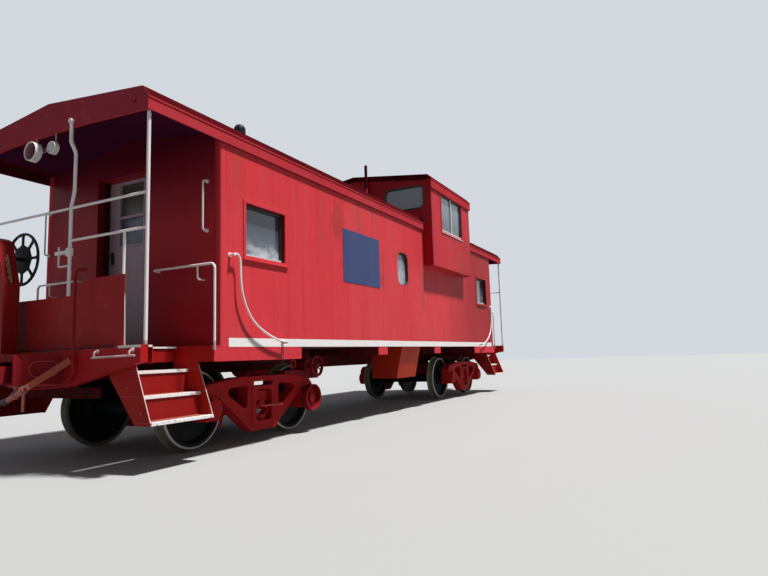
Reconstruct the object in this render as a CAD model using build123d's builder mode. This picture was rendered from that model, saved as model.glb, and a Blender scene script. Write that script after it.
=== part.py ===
from build123d import *
from math import cos, sin, pi
import os

# A four-axle steel caboose with a wide-bodied cupola. X runs along the car, the end
# with the brake wheel at -X, Z is up and zero is at the bottom of the wheel flanges.

os.makedirs("parts", exist_ok=True)

# Wheels and trucks
FLANGE_DEPTH = 28
TREAD_R = 419
WHEEL_BACK = 684
WHEEL_FACE = 820
RUNNING_GAP = 0.06
JOURNAL_R = 70
AXLE_Z = FLANGE_DEPTH + TREAD_R
WHEELBASE = 1706
SIDE_FRAME_Y = 990
SIDE_FRAME_W = 150
FRAME_IN = SIDE_FRAME_Y - SIDE_FRAME_W / 2
FRAME_OUT = SIDE_FRAME_Y + SIDE_FRAME_W / 2
BOX_FACE = FRAME_OUT + 20
AXLE_END = BOX_FACE + 15

# Body shell
BODY_HALF_L = 4612
BODY_HALF_W = 1424
WALL = 90
SILL_Z = 1092
FLOOR_Z = SILL_Z + 38
WALL_TOP = SILL_Z + 2228
INNER_L = BODY_HALF_L - WALL
INNER_W = BODY_HALF_W - WALL
TRUCK_X = BODY_HALF_L - 1103

# Main roof
ROOF_HALF_L = BODY_HALF_L + 941
ROOF_HALF_W = BODY_HALF_W + 28
ROOF_EDGE_Z = WALL_TOP - 105
ROOF_SHOULDER_Z = WALL_TOP + 20
ROOF_CHAMFER_Y = ROOF_HALF_W - 76
ROOF_CHAMFER_Z = ROOF_SHOULDER_Z + 108
ROOF_RIDGE_Z = ROOF_CHAMFER_Z + 146
ROOF_FLASHING = 25
ROOF_LIP = 7
ROOF_LIP_H = 14
CEILING_Y = INNER_W - 10
CEILING_RIDGE_Z = ROOF_RIDGE_Z - 94
FASCIA = 30
FASCIA_ARCH = 45
FASCIA_ARCH_Y = 600

# Cupola
CUPOLA_X0 = 605
CUPOLA_X1 = CUPOLA_X0 + 2085
CUPOLA_HALF_W = BODY_HALF_W + 188
CUPOLA_WALL = 60
BAY_Z = WALL_TOP - 763
CUPOLA_TOP = WALL_TOP + 830
CUPOLA_ROOF_HALF_W = CUPOLA_HALF_W + 28
CUPOLA_ROOF_EDGE_Z = CUPOLA_TOP - 158
CUPOLA_SHOULDER_Z = CUPOLA_TOP + 8
CUPOLA_CHAMFER_Y = CUPOLA_ROOF_HALF_W - 72
CUPOLA_CHAMFER_Z = CUPOLA_SHOULDER_Z + 90
CUPOLA_RIDGE_Z = CUPOLA_CHAMFER_Z + 204
CUPOLA_CEILING_Z = CUPOLA_RIDGE_Z - 80
CUPOLA_OVERHANG = 32
CUPOLA_MID = (CUPOLA_X0 + CUPOLA_X1) / 2

# Windows
WINDOW_X = BODY_HALF_L - 724
WINDOW_W = 686
WINDOW_Z0 = SILL_Z + 975
WINDOW_Z1 = WINDOW_Z0 + 580
PILL_X = -300
PILL_W = 400
PILL_H = 550
PILL_Z = SILL_Z + 1296
PILL_R = 130
BAY_WINDOW_W = CUPOLA_X1 - CUPOLA_X0 - 985
BAY_WINDOW_Z0 = CUPOLA_TOP - 876
BAY_WINDOW_Z1 = BAY_WINDOW_Z0 + 720
CUPOLA_LIGHT_Y = CUPOLA_HALF_W - 549
CUPOLA_LIGHT_W = 800
CUPOLA_LIGHT_H = 435
CUPOLA_LIGHT_Z = CUPOLA_TOP - 292
CUPOLA_LIGHT_R = 95

# Doors, hung on a floor pin and a head pin behind a deep frame
DOOR_Y = 90
DOOR_W = 800
DOOR_TOP = FLOOR_Z + 1975
DOOR_REVEAL = 165
DOOR_FRAME_W = 40
DOOR_FRAME_HEAD = 80
THRESHOLD = 18
DOOR_T = 45
DOOR_GAP = 6
DOOR_SETBACK = 10
DOOR_LAP = 20
HINGE_IN = 14
HINGE_R = 8
HINGE_DEPTH = 40
HINGE_END_GAP = 5
LUG = 20
DOOR_LIGHT_W = 410
DOOR_LIGHT_SHIFT = 30
DOOR_LIGHT_Z0 = FLOOR_Z + 1203
DOOR_LIGHT_Z1 = DOOR_LIGHT_Z0 + 744
HINGE_X = BODY_HALF_L - DOOR_REVEAL - DOOR_SETBACK - DOOR_T / 2
HINGE_Y = DOOR_W / 2 + DOOR_LAP - HINGE_IN - DOOR_Y

# Platforms and steps
DECK_END = BODY_HALF_L + 868
DECK_T = 18
DECK_Z = SILL_Z + DECK_T
BEAM_FACE = DECK_END + 80
BEAM_LIP = 3
BEAM_HALF_W = BODY_HALF_W - 8
BEAM_END_Z = SILL_Z - 144
BEAM_TIP_Z = SILL_Z - 125
BEAM_LOW_Z = SILL_Z - 343
BEAM_LOW_Y = 430
STEP_X0 = BODY_HALF_L + 82
STEP_X1 = BODY_HALF_L + 830
STEP_FRONT = BODY_HALF_W
STEP_RUN = 170
STEP_Z = 440
STEP_RISE = 222
STEP_T = 28
STEP_PLATE = 8
STEP_LEVELS = 3
WELL_Y = STEP_FRONT - STEP_LEVELS * STEP_RUN

# Railings
POST_X = DECK_END + 20
POST_Y = BODY_HALF_W - 19
POST_R = 17
RAIL_R = 13
RAIL_TOP = SILL_Z + 1380
RAIL_MID = SILL_Z + 1058
WALL_RAIL_X = STEP_X0 + RAIL_R - 1
WALL_RAIL_Y = BODY_HALF_W + RAIL_R + 1
WALL_RAIL_Z = SILL_Z + 834
WALL_RAIL_IN = DOOR_W / 2 + 240
WALL_STAY_Y = BODY_HALF_W - 219
WALL_STAY_R = 9
BENT_POST_Y = -340
SHORT_POST_Y = -1110
GUARD_TOP = SILL_Z + 663
GUARD_LOW_TOP = SILL_Z + 518
GUARD_T = 6

# Brake wheel and its housing
BRAKE_X = -(BEAM_FACE - 87)
BRAKE_Y = 470
BRAKE_Z = SILL_Z + 961
BRAKE_R = 279
BRAKE_RIM_R = 13
BRAKE_HUB_R = 150
BRAKE_SPOKES = 8
BRAKE_SPOKE_W = 24
BRAKE_SHAFT_R = 19
HOUSING_X0 = -(BEAM_FACE + 185)
HOUSING_X1 = -(BEAM_FACE + 30)

ENDS = (("rear", -1), ("front", 1))
SIDES = (("right", -1), ("left", 1))


def block(x0, x1, y0, y1, z0, z1, mode=Mode.ADD):
    with Locations(((x0 + x1) / 2, (y0 + y1) / 2, (z0 + z1) / 2)):
        Box(abs(x1 - x0), abs(y1 - y0), abs(z1 - z0), mode=mode)


def plate_yz(points, x0, x1, mode=Mode.ADD):
    with BuildSketch(Plane.YZ.offset(min(x0, x1))) as outline:
        with BuildLine():
            Polyline(*points, close=True)
        make_face()
    extrude(outline.sketch, amount=abs(x1 - x0), mode=mode)


def plate_xz(points, y0, y1, mode=Mode.ADD, radius=0):
    with BuildSketch(Plane.XZ.offset(-max(y0, y1))) as outline:
        with BuildLine():
            if radius:
                FilletPolyline(*points, radius=radius, close=True)
            else:
                Polyline(*points, close=True)
        make_face()
    extrude(outline.sketch, amount=abs(y1 - y0), mode=mode)


def rounded_xz(x, z, width, height, radius, y0, y1, mode=Mode.ADD):
    with BuildSketch(Plane.XZ.offset(-max(y0, y1))) as outline:
        with Locations((x, z)):
            RectangleRounded(width, height, radius)
    extrude(outline.sketch, amount=abs(y1 - y0), mode=mode)


def rod(start, end, radius, mode=Mode.ADD):
    run = Vector(*end) - Vector(*start)
    with BuildSketch(Plane(origin=start, z_dir=run.normalized())) as section:
        Circle(radius)
    extrude(section.sketch, amount=run.length, mode=mode)


def pipe(points, radius, bend):
    with BuildLine() as route:
        FilletPolyline(*points, radius=bend)
    with BuildSketch(Plane(origin=route.line @ 0, z_dir=route.line % 0)) as section:
        Circle(radius)
    sweep(section.sketch, path=route.line)


def save(solid, name):
    solid.label = name
    export_step(solid, f"parts/{name}.step")


# Wheelsets: an axle and its two wheels, turned from one half profile.
AXLE_PROFILE = (
    # (y, radius)
    (0, 0), (0, 76), (560, 82), (636, 95), (655, 95), (655, 132), (690, 150), (712, 200),
    (716, 330), (WHEEL_BACK, 362), (WHEEL_BACK, TREAD_R + 12), (WHEEL_BACK + 10, TREAD_R + FLANGE_DEPTH),
    (WHEEL_BACK + 22, TREAD_R + FLANGE_DEPTH), (WHEEL_BACK + 34, TREAD_R + 6), (WHEEL_BACK + 40, TREAD_R),
    (WHEEL_FACE - 6, TREAD_R - 4), (WHEEL_FACE, TREAD_R - 10), (WHEEL_FACE, 362), (748, 330), (744, 200),
    (760, 150), (812, 132), (812, 95), (850, 90), (880, 90), (880, JOURNAL_R), (AXLE_END, JOURNAL_R),
    (AXLE_END, 0),
)

AXLES = (
    # name, truck end, place along the truck
    ("wheelset_1", -1, -1),
    ("wheelset_2", -1, 1),
    ("wheelset_3", 1, -1),
    ("wheelset_4", 1, 1),
)

for name, truck, place in AXLES:
    axle_x = truck * TRUCK_X + place * WHEELBASE / 2
    with BuildPart() as wheelset:
        for hand in (-1, 1):
            with BuildSketch(Plane.YZ.offset(axle_x)):
                with BuildLine():
                    Polyline(*[(hand * y, AXLE_Z + r) for y, r in AXLE_PROFILE], close=True)
                make_face()
            revolve(axis=Axis((axle_x, 0, AXLE_Z), (0, 1, 0)), revolution_arc=360)
    save(wheelset.part, name)

# Truck side frames: a cast truss whose tension member slants from the journal boxes to the
# foot, a pad with the spring window in the middle and a lidded journal box at each end.
HALF_BASE = WHEELBASE / 2
FRAME_TOP = 762
FRAME_BEND = 45
TRUSS_SHOULDER = HALF_BASE - 150
TRUSS_FOOT = 205
TRUSS_FOOT_Z = 141
FRAME_OUTLINE = (
    # (x from the truck's centre, z)
    (-HALF_BASE - 150, AXLE_Z + 170), (-HALF_BASE - 60, FRAME_TOP - 60), (-430, FRAME_TOP),
    (430, FRAME_TOP), (HALF_BASE + 60, FRAME_TOP - 60), (HALF_BASE + 150, AXLE_Z + 170),
    (HALF_BASE + 115, AXLE_Z + 60), (TRUSS_SHOULDER, AXLE_Z + 85), (TRUSS_FOOT, TRUSS_FOOT_Z),
    (-TRUSS_FOOT, TRUSS_FOOT_Z), (-TRUSS_SHOULDER, AXLE_Z + 85), (-HALF_BASE - 115, AXLE_Z + 60),
)
SIDE_OPENING = ((288, 376), (276, 672), (596, 644), (596, 574))
PAD_RISE = 9
PAD_R = 26
PAD_W = 420
PAD_Z0 = 190
PAD_Z1 = 646
SPRING_WINDOW_W = 280
SPRING_WINDOW_Z0 = 247
SPRING_WINDOW_Z1 = 609
SPRING_WINDOW_R = 55
SLOT_W = 340
SLOT_Z = 676
SLOT_H = 52
BOX_W = 262
BOX_H = 250
BOX_R = 60
BOX_BACK = FRAME_IN - 25
LID_W = 196
LID_T = 45
LID_R = 80
PULLEY_JOURNAL = ("rear", "right", 1)

for end_name, end in ENDS:
    for side_name, side in SIDES:
        y_in = side * FRAME_IN
        y_out = side * FRAME_OUT
        centre = end * TRUCK_X
        outline = [(centre + x, z) for x, z in FRAME_OUTLINE]
        with BuildPart() as side_frame:
            plate_xz(outline, y_in, y_out, radius=FRAME_BEND)
            rounded_xz(centre, (PAD_Z0 + PAD_Z1) / 2, PAD_W, PAD_Z1 - PAD_Z0, PAD_R,
                       side * SIDE_FRAME_Y, y_out + side * PAD_RISE)
            for hand in (-1, 1):
                opening = [(centre + hand * x, z) for x, z in SIDE_OPENING]
                plate_xz(opening, y_in, y_out, Mode.SUBTRACT, FRAME_BEND)
            rounded_xz(centre, (SPRING_WINDOW_Z0 + SPRING_WINDOW_Z1) / 2, SPRING_WINDOW_W,
                       SPRING_WINDOW_Z1 - SPRING_WINDOW_Z0, SPRING_WINDOW_R, y_in,
                       y_out + side * PAD_RISE, Mode.SUBTRACT)
            rounded_xz(centre, SLOT_Z, SLOT_W, SLOT_H, SLOT_H / 3, y_in, y_out, Mode.SUBTRACT)
            for hand in (-1, 1):
                box_x = centre + hand * HALF_BASE
                rounded_xz(box_x, AXLE_Z, BOX_W, BOX_H, BOX_R, side * BOX_BACK, side * BOX_FACE)
                journal_end = side * (BOX_FACE + LID_T / 2)
                if (end_name, side_name, hand) == PULLEY_JOURNAL:
                    journal_end = side * (BOX_FACE + LID_T)
                else:
                    rounded_xz(box_x, AXLE_Z, LID_W, LID_W, LID_R, side * BOX_FACE, side * (BOX_FACE + LID_T))
                    block(box_x - 35, box_x + 35, side * BOX_FACE, side * (BOX_FACE + LID_T - 10),
                          AXLE_Z + LID_W / 2 - 20, AXLE_Z + BOX_H / 2)
                rod((box_x, side * (BOX_BACK - 10), AXLE_Z), (box_x, journal_end, AXLE_Z),
                    JOURNAL_R + RUNNING_GAP, Mode.SUBTRACT)
        save(side_frame.part, f"truck_{end_name}_{side_name}_frame")

# Truck bolsters: a deep cast beam whose ends ride on leaf springs in the side frames'
# windows, with the brake beams and shoes carried on each side of it.
BOLSTER_HALF = 165
BOLSTER_END_HALF = 120
BOLSTER_TOP = 690
BOLSTER_TIP_Z0 = 470
BOLSTER_TIP_Z1 = 590
CENTRE_PLATE_Z = SILL_Z - 351
CENTRE_PLATE_R = 180
CENTRE_PLATE_GAP = 0.3
LEAF_T = 14
LEAF_HALF = 122
LEAF_RISE = 58
LEAF_COUNT = 4
SPRING_Z = (SPRING_WINDOW_Z0 + BOLSTER_TIP_Z0) / 2
SPRING_W = 90
SHOE_GAP = 8
SHOE_T = 42
SHOE_SPAN = 0.42
SHOE_Y0 = 738
SHOE_Y1 = 812
BRAKE_BEAM_H = 90
BRAKE_BEAM_T = 50
shoe_r = TREAD_R + SHOE_GAP
beam_reach = HALF_BASE - shoe_r - SHOE_T + 14

for end_name, end in ENDS:
    centre = end * TRUCK_X
    reach = FRAME_IN - 2
    with BuildPart() as bolster:
        plate_yz([(-reach, BOLSTER_TIP_Z0), (-reach, 610), (-400, BOLSTER_TOP), (400, BOLSTER_TOP),
                  (reach, 610), (reach, BOLSTER_TIP_Z0), (400, 380), (-400, 380)],
                 centre - BOLSTER_HALF, centre + BOLSTER_HALF)
        rod((centre, 0, BOLSTER_TOP), (centre, 0, CENTRE_PLATE_Z - CENTRE_PLATE_GAP), CENTRE_PLATE_R)
        for side in (-1, 1):
            block(centre - BOLSTER_END_HALF, centre + BOLSTER_END_HALF, side * (reach - 20),
                  side * (SIDE_FRAME_Y + 30), BOLSTER_TIP_Z0, BOLSTER_TIP_Z1)
            for arch in (-1, 1):
                for leaf in range(LEAF_COUNT):
                    half = LEAF_HALF - 20 * leaf
                    sag = LEAF_RISE * (half / LEAF_HALF) ** 2
                    crown = SPRING_Z + arch * (LEAF_RISE + leaf * LEAF_T)
                    eye = crown - arch * sag
                    with BuildSketch(Plane.XZ.offset(-side * SIDE_FRAME_Y + SPRING_W / 2)) as spring:
                        with BuildLine():
                            ThreePointArc((centre - half, eye), (centre, crown), (centre + half, eye))
                            Line((centre + half, eye), (centre + half, eye - arch * LEAF_T))
                            ThreePointArc((centre + half, eye - arch * LEAF_T), (centre, crown - arch * LEAF_T),
                                          (centre - half, eye - arch * LEAF_T))
                            Line((centre - half, eye - arch * LEAF_T), (centre - half, eye))
                        make_face()
                    extrude(spring.sketch, amount=-SPRING_W)
            block(centre - LEAF_HALF - 6, centre - LEAF_HALF + 20, side * (SIDE_FRAME_Y - SPRING_W / 2),
                  side * (SIDE_FRAME_Y + SPRING_W / 2), SPRING_Z - 22, SPRING_Z + 22)
            block(centre + LEAF_HALF + 6, centre + LEAF_HALF - 20, side * (SIDE_FRAME_Y - SPRING_W / 2),
                  side * (SIDE_FRAME_Y + SPRING_W / 2), SPRING_Z - 22, SPRING_Z + 22)
            block(centre - 45, centre + 45, side * (SIDE_FRAME_Y - SPRING_W / 2 - 10),
                  side * (SIDE_FRAME_Y + SPRING_W / 2 + 10), SPRING_Z + LEAF_RISE - LEAF_T / 2, BOLSTER_TIP_Z0)
            block(centre - 45, centre + 45, side * (SIDE_FRAME_Y - SPRING_W / 2 - 10),
                  side * (SIDE_FRAME_Y + SPRING_W / 2 + 10), SPRING_WINDOW_Z0 + 0.5,
                  SPRING_Z - LEAF_RISE + LEAF_T / 2)
        for hand in (-1, 1):
            beam_x = centre + hand * beam_reach
            block(beam_x, beam_x - hand * BRAKE_BEAM_T, -SHOE_Y1, SHOE_Y1, AXLE_Z - 110,
                  AXLE_Z - 110 + BRAKE_BEAM_H)
            for side in (-1, 1):
                block(beam_x - hand * BRAKE_BEAM_T / 2, centre + hand * (BOLSTER_HALF - 10), side * 300 - 25,
                      side * 300 + 25, AXLE_Z - 105, AXLE_Z - 25)
                axle_x = centre + hand * HALF_BASE
                shoe = []
                for radius in (shoe_r, shoe_r + SHOE_T):
                    arc = []
                    for step in range(9):
                        angle = SHOE_SPAN * (step / 4 - 1) - 0.12
                        arc.append((axle_x - hand * radius * cos(angle), AXLE_Z + radius * sin(angle)))
                    shoe += arc if radius == shoe_r else arc[::-1]
                plate_xz(shoe, side * SHOE_Y0, side * SHOE_Y1)
    save(bolster.part, f"truck_{end_name}_bolster")

# Cabin floor: a flat plate between the walls.
with BuildPart() as floor:
    block(-INNER_L, INNER_L, -INNER_W, INNER_W, SILL_Z, FLOOR_Z)
save(floor.part, "cabin_floor")

# Underframe: the centre sill with its bolsters, crossbearers, side strips and the cross tie
# under each end.
CENTRE_SILL_W = 165
CENTRE_SILL_Z = CENTRE_PLATE_Z + 59
BODY_BOLSTER_Z = SILL_Z - 187
BODY_BOLSTER_Y = 600
BODY_BOLSTER_HALF = 150
SIDE_STRIP_X = TRUCK_X - 274
BEARER_X0 = 947
BEARER_X1 = 1247
BEARER_Z = SILL_Z - 124
TIE_X = DECK_END - 180
TIE_T = 30
TIE_HALF_W = 590
TIE_Z0 = SILL_Z - 460
TIE_Z1 = SILL_Z - 355
with BuildPart() as underframe:
    block(-DECK_END, DECK_END, -CENTRE_SILL_W, CENTRE_SILL_W, CENTRE_SILL_Z, SILL_Z)
    for end in (-1, 1):
        block(end * TIE_X, end * (TIE_X + TIE_T), -TIE_HALF_W, TIE_HALF_W, TIE_Z0, TIE_Z1)
        block(end * TIE_X, end * (TIE_X + TIE_T), -CENTRE_SILL_W, CENTRE_SILL_W, TIE_Z1, CENTRE_SILL_Z)
        bolster_x = end * TRUCK_X
        plate_yz([(-BODY_HALF_W, SILL_Z), (-BODY_HALF_W, BEAM_END_Z), (-BODY_BOLSTER_Y, BODY_BOLSTER_Z),
                  (-CENTRE_SILL_W, CENTRE_SILL_Z), (CENTRE_SILL_W, CENTRE_SILL_Z),
                  (BODY_BOLSTER_Y, BODY_BOLSTER_Z), (BODY_HALF_W, BEAM_END_Z), (BODY_HALF_W, SILL_Z)],
                 bolster_x - BODY_BOLSTER_HALF, bolster_x + BODY_BOLSTER_HALF)
        rod((bolster_x, 0, CENTRE_PLATE_Z), (bolster_x, 0, CENTRE_SILL_Z), CENTRE_PLATE_R - 5)
        for side in (-1, 1):
            block(end * SIDE_STRIP_X, end * (STEP_X0 - 2), side * (BODY_HALF_W - 12), side * BODY_HALF_W,
                  BEAM_END_Z, SILL_Z)
            block(end * BEARER_X0, end * BEARER_X1, side * CENTRE_SILL_W, side * (BODY_HALF_W - 4),
                  BEARER_Z, SILL_Z)
save(underframe.part, "underframe")

# Side walls, each with two windows, a pill-shaped light and the cupola bay's opening.
for side_name, side in SIDES:
    y_out = side * BODY_HALF_W
    y_in = side * INNER_W
    with BuildPart() as wall:
        block(-BODY_HALF_L, BODY_HALF_L, y_in, y_out, SILL_Z, WALL_TOP)
        block(CUPOLA_X0, CUPOLA_X1, y_in, y_out, BAY_Z, WALL_TOP, Mode.SUBTRACT)
        for end in (-1, 1):
            block(end * WINDOW_X - WINDOW_W / 2, end * WINDOW_X + WINDOW_W / 2, y_in, y_out,
                  WINDOW_Z0, WINDOW_Z1, Mode.SUBTRACT)
        rounded_xz(PILL_X, PILL_Z, PILL_W, PILL_H, PILL_R, y_in, y_out, Mode.SUBTRACT)
    save(wall.part, f"side_wall_{side_name}")

# End walls with a deep door frame set a little to the left of the middle.
LUG_Z = DOOR_TOP + DOOR_LAP + DOOR_GAP
frame_x = BODY_HALF_L - DOOR_REVEAL
frame_half = DOOR_W / 2 + DOOR_FRAME_W
for end_name, end in ENDS:
    door_y = -end * DOOR_Y
    hinge = (end * HINGE_X, end * HINGE_Y)
    with BuildPart() as end_wall:
        block(end * INNER_L, end * BODY_HALF_L, -INNER_W, INNER_W, SILL_Z, WALL_TOP)
        plate_yz([(-CEILING_Y, WALL_TOP), (CEILING_Y, WALL_TOP), (0, CEILING_RIDGE_Z)],
                 end * INNER_L, end * BODY_HALF_L)
        block(end * INNER_L, end * frame_x, door_y - frame_half, door_y + frame_half, FLOOR_Z,
              DOOR_TOP + DOOR_FRAME_HEAD)
        block(end * BODY_HALF_L, end * frame_x, door_y - DOOR_W / 2, door_y + DOOR_W / 2,
              FLOOR_Z + THRESHOLD, DOOR_TOP, Mode.SUBTRACT)
        for z0, z1, pin_end in (
            (FLOOR_Z, FLOOR_Z + THRESHOLD, FLOOR_Z + THRESHOLD + DOOR_GAP + HINGE_DEPTH - HINGE_END_GAP),
            (LUG_Z + LUG, LUG_Z, LUG_Z - DOOR_GAP - HINGE_DEPTH + HINGE_END_GAP),
        ):
            block(end * frame_x, end * (HINGE_X - LUG), hinge[1] - LUG, hinge[1] + LUG, z0, z1)
            rod((*hinge, z1 - (z1 - z0) / 2), (*hinge, pin_end), HINGE_R)
    save(end_wall.part, f"end_wall_{end_name}")

    # The door closes against the inner end of its frame and swings into the body.
    door_x = end * (frame_x - DOOR_SETBACK)
    door_foot = FLOOR_Z + THRESHOLD + DOOR_GAP
    door_head = DOOR_TOP + DOOR_LAP
    light_y = door_y - end * DOOR_LIGHT_SHIFT
    with BuildPart() as door:
        block(door_x, door_x - end * DOOR_T, door_y - DOOR_W / 2 - DOOR_LAP, door_y + DOOR_W / 2 + DOOR_LAP,
              door_foot, door_head)
        block(door_x, door_x - end * DOOR_T, light_y - DOOR_LIGHT_W / 2, light_y + DOOR_LIGHT_W / 2,
              DOOR_LIGHT_Z0, DOOR_LIGHT_Z1, Mode.SUBTRACT)
        for z0, z1 in ((door_foot, door_foot + HINGE_DEPTH), (door_head, door_head - HINGE_DEPTH)):
            rod((*hinge, z0), (*hinge, z1), HINGE_R + RUNNING_GAP, Mode.SUBTRACT)
    save(door.part, f"door_{end_name}")


def roof_section(half_w, edge_z, shoulder_z, chamfer_y, chamfer_z, ridge_z, seat_z, ceiling_y, ceiling_z):
    left = [(-half_w, edge_z), (-half_w, shoulder_z - ROOF_LIP_H), (-half_w - ROOF_LIP, shoulder_z - ROOF_LIP_H),
            (-half_w - ROOF_LIP, shoulder_z), (-chamfer_y, chamfer_z), (0, ridge_z)]
    right = [(-y, z) for y, z in reversed(left[:-1])]
    inner = half_w - ROOF_FLASHING
    under = [(inner, edge_z), (inner, seat_z), (ceiling_y, seat_z), (0, ceiling_z),
             (-ceiling_y, seat_z), (-inner, seat_z), (-inner, edge_z)]
    return left + right + under


MAIN_ROOF = roof_section(ROOF_HALF_W, ROOF_EDGE_Z, ROOF_SHOULDER_Z, ROOF_CHAMFER_Y, ROOF_CHAMFER_Z,
                         ROOF_RIDGE_Z, WALL_TOP, CEILING_Y, CEILING_RIDGE_Z)
FASCIA_PLATE = MAIN_ROOF[:11] + [(FASCIA_ARCH_Y, ROOF_EDGE_Z + FASCIA_ARCH),
                                (-FASCIA_ARCH_Y, ROOF_EDGE_Z + FASCIA_ARCH)]

for name, inner_x, end in (("main_roof_rear", CUPOLA_X0, -1), ("main_roof_front", CUPOLA_X1, 1)):
    with BuildPart() as roof:
        plate_yz(MAIN_ROOF, inner_x, end * ROOF_HALF_L)
        plate_yz(FASCIA_PLATE, end * (ROOF_HALF_L - FASCIA), end * ROOF_HALF_L)
    save(roof.part, name)

# Cupola: two end walls astride the roof, two bays hung over the body's sides, and a roof.
CUPOLA_INNER_W = CUPOLA_HALF_W - CUPOLA_WALL
CUPOLA_END = [
    (-CUPOLA_HALF_W, BAY_Z), (-CUPOLA_HALF_W, CUPOLA_TOP), (-CUPOLA_INNER_W, CUPOLA_TOP),
    (0, CUPOLA_CEILING_Z), (CUPOLA_INNER_W, CUPOLA_TOP), (CUPOLA_HALF_W, CUPOLA_TOP),
    (CUPOLA_HALF_W, BAY_Z), (INNER_W, BAY_Z), (INNER_W, WALL_TOP), (CEILING_Y, WALL_TOP),
    (0, CEILING_RIDGE_Z), (-CEILING_Y, WALL_TOP), (-INNER_W, WALL_TOP), (-INNER_W, BAY_Z),
]
for end_name, x_out, inward in (("rear", CUPOLA_X0, 1), ("front", CUPOLA_X1, -1)):
    x_in = x_out + inward * CUPOLA_WALL
    with BuildPart() as cupola_end:
        plate_yz(CUPOLA_END, x_out, x_in)
        with BuildSketch(Plane.YZ.offset(min(x_out, x_in))):
            with Locations((-CUPOLA_LIGHT_Y, CUPOLA_LIGHT_Z), (CUPOLA_LIGHT_Y, CUPOLA_LIGHT_Z)):
                RectangleRounded(CUPOLA_LIGHT_W, CUPOLA_LIGHT_H, CUPOLA_LIGHT_R)
        extrude(amount=CUPOLA_WALL, mode=Mode.SUBTRACT)
    save(cupola_end.part, f"cupola_end_{end_name}")

for side_name, side in SIDES:
    y_out = side * CUPOLA_HALF_W
    y_in = side * CUPOLA_INNER_W
    x0 = CUPOLA_X0 + CUPOLA_WALL
    x1 = CUPOLA_X1 - CUPOLA_WALL
    with BuildPart() as bay:
        block(x0, x1, y_in, y_out, BAY_Z, CUPOLA_TOP)
        block(x0, x1, side * INNER_W, y_in, BAY_Z, BAY_Z + CUPOLA_WALL)
        block(CUPOLA_MID - BAY_WINDOW_W / 2, CUPOLA_MID + BAY_WINDOW_W / 2, y_in, y_out,
              BAY_WINDOW_Z0, BAY_WINDOW_Z1, Mode.SUBTRACT)
    save(bay.part, f"cupola_bay_{side_name}")

with BuildPart() as cupola_roof:
    plate_yz(roof_section(CUPOLA_ROOF_HALF_W, CUPOLA_ROOF_EDGE_Z, CUPOLA_SHOULDER_Z, CUPOLA_CHAMFER_Y,
                          CUPOLA_CHAMFER_Z, CUPOLA_RIDGE_Z, CUPOLA_TOP, CUPOLA_INNER_W,
                          CUPOLA_CEILING_Z),
             CUPOLA_X0 - CUPOLA_OVERHANG, CUPOLA_X1 + CUPOLA_OVERHANG)
save(cupola_roof.part, "cupola_roof")

# Window units: a sash frame with its panes, set in each opening.
SASH_T = 40
SASH_W = 32
PANE_T = 6
PANE_BACK = 14
MULLION_W = 32
for side_name, side in SIDES:
    windows = (
        # name, x, width, z0, z1, wall's face, depth of the sash in it, lights side by side
        ("rear", -WINDOW_X, WINDOW_W, WINDOW_Z0, WINDOW_Z1, BODY_HALF_W, 46, 1),
        ("front", WINDOW_X, WINDOW_W, WINDOW_Z0, WINDOW_Z1, BODY_HALF_W, 46, 1),
        ("cupola", CUPOLA_MID, BAY_WINDOW_W, BAY_WINDOW_Z0, BAY_WINDOW_Z1, CUPOLA_HALF_W, 12, 2),
    )
    for name, x, width, z0, z1, face, inset, lights in windows:
        y_front = side * (face - inset)
        y_back = y_front - side * SASH_T
        pane_y0 = y_back + side * PANE_BACK
        pane_y1 = pane_y0 + side * PANE_T
        with BuildPart() as window:
            block(x - width / 2, x + width / 2, y_back, y_front, z0, z1)
            light_w = (width - 2 * SASH_W - (lights - 1) * MULLION_W) / lights
            for light in range(lights):
                light_x0 = x - width / 2 + SASH_W + light * (light_w + MULLION_W)
                light_x1 = light_x0 + light_w
                for y0, y1 in ((y_back, pane_y0), (pane_y1, y_front)):
                    block(light_x0, light_x1, y0, y1, z0 + SASH_W, z1 - SASH_W, Mode.SUBTRACT)
        save(window.part, f"window_{side_name}_{name}")

# End platforms: the deck with its step wells, and the tapered end beam with a raised lip.
for end_name, end in ENDS:
    beam_top = DECK_Z + BEAM_LIP
    with BuildPart() as platform:
        block(end * BODY_HALF_L, end * DECK_END, -BODY_HALF_W, BODY_HALF_W, SILL_Z, DECK_Z)
        for side in (-1, 1):
            block(end * STEP_X0, end * STEP_X1, side * WELL_Y, side * (BODY_HALF_W + 10), SILL_Z,
                  DECK_Z, Mode.SUBTRACT)
        plate_yz([(-BEAM_HALF_W, beam_top), (-BEAM_HALF_W, BEAM_TIP_Z), (-BEAM_LOW_Y, BEAM_LOW_Z),
                  (BEAM_LOW_Y, BEAM_LOW_Z), (BEAM_HALF_W, BEAM_TIP_Z), (BEAM_HALF_W, beam_top)],
                 end * DECK_END, end * BEAM_FACE)
    save(platform.part, f"platform_{end_name}")

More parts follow.
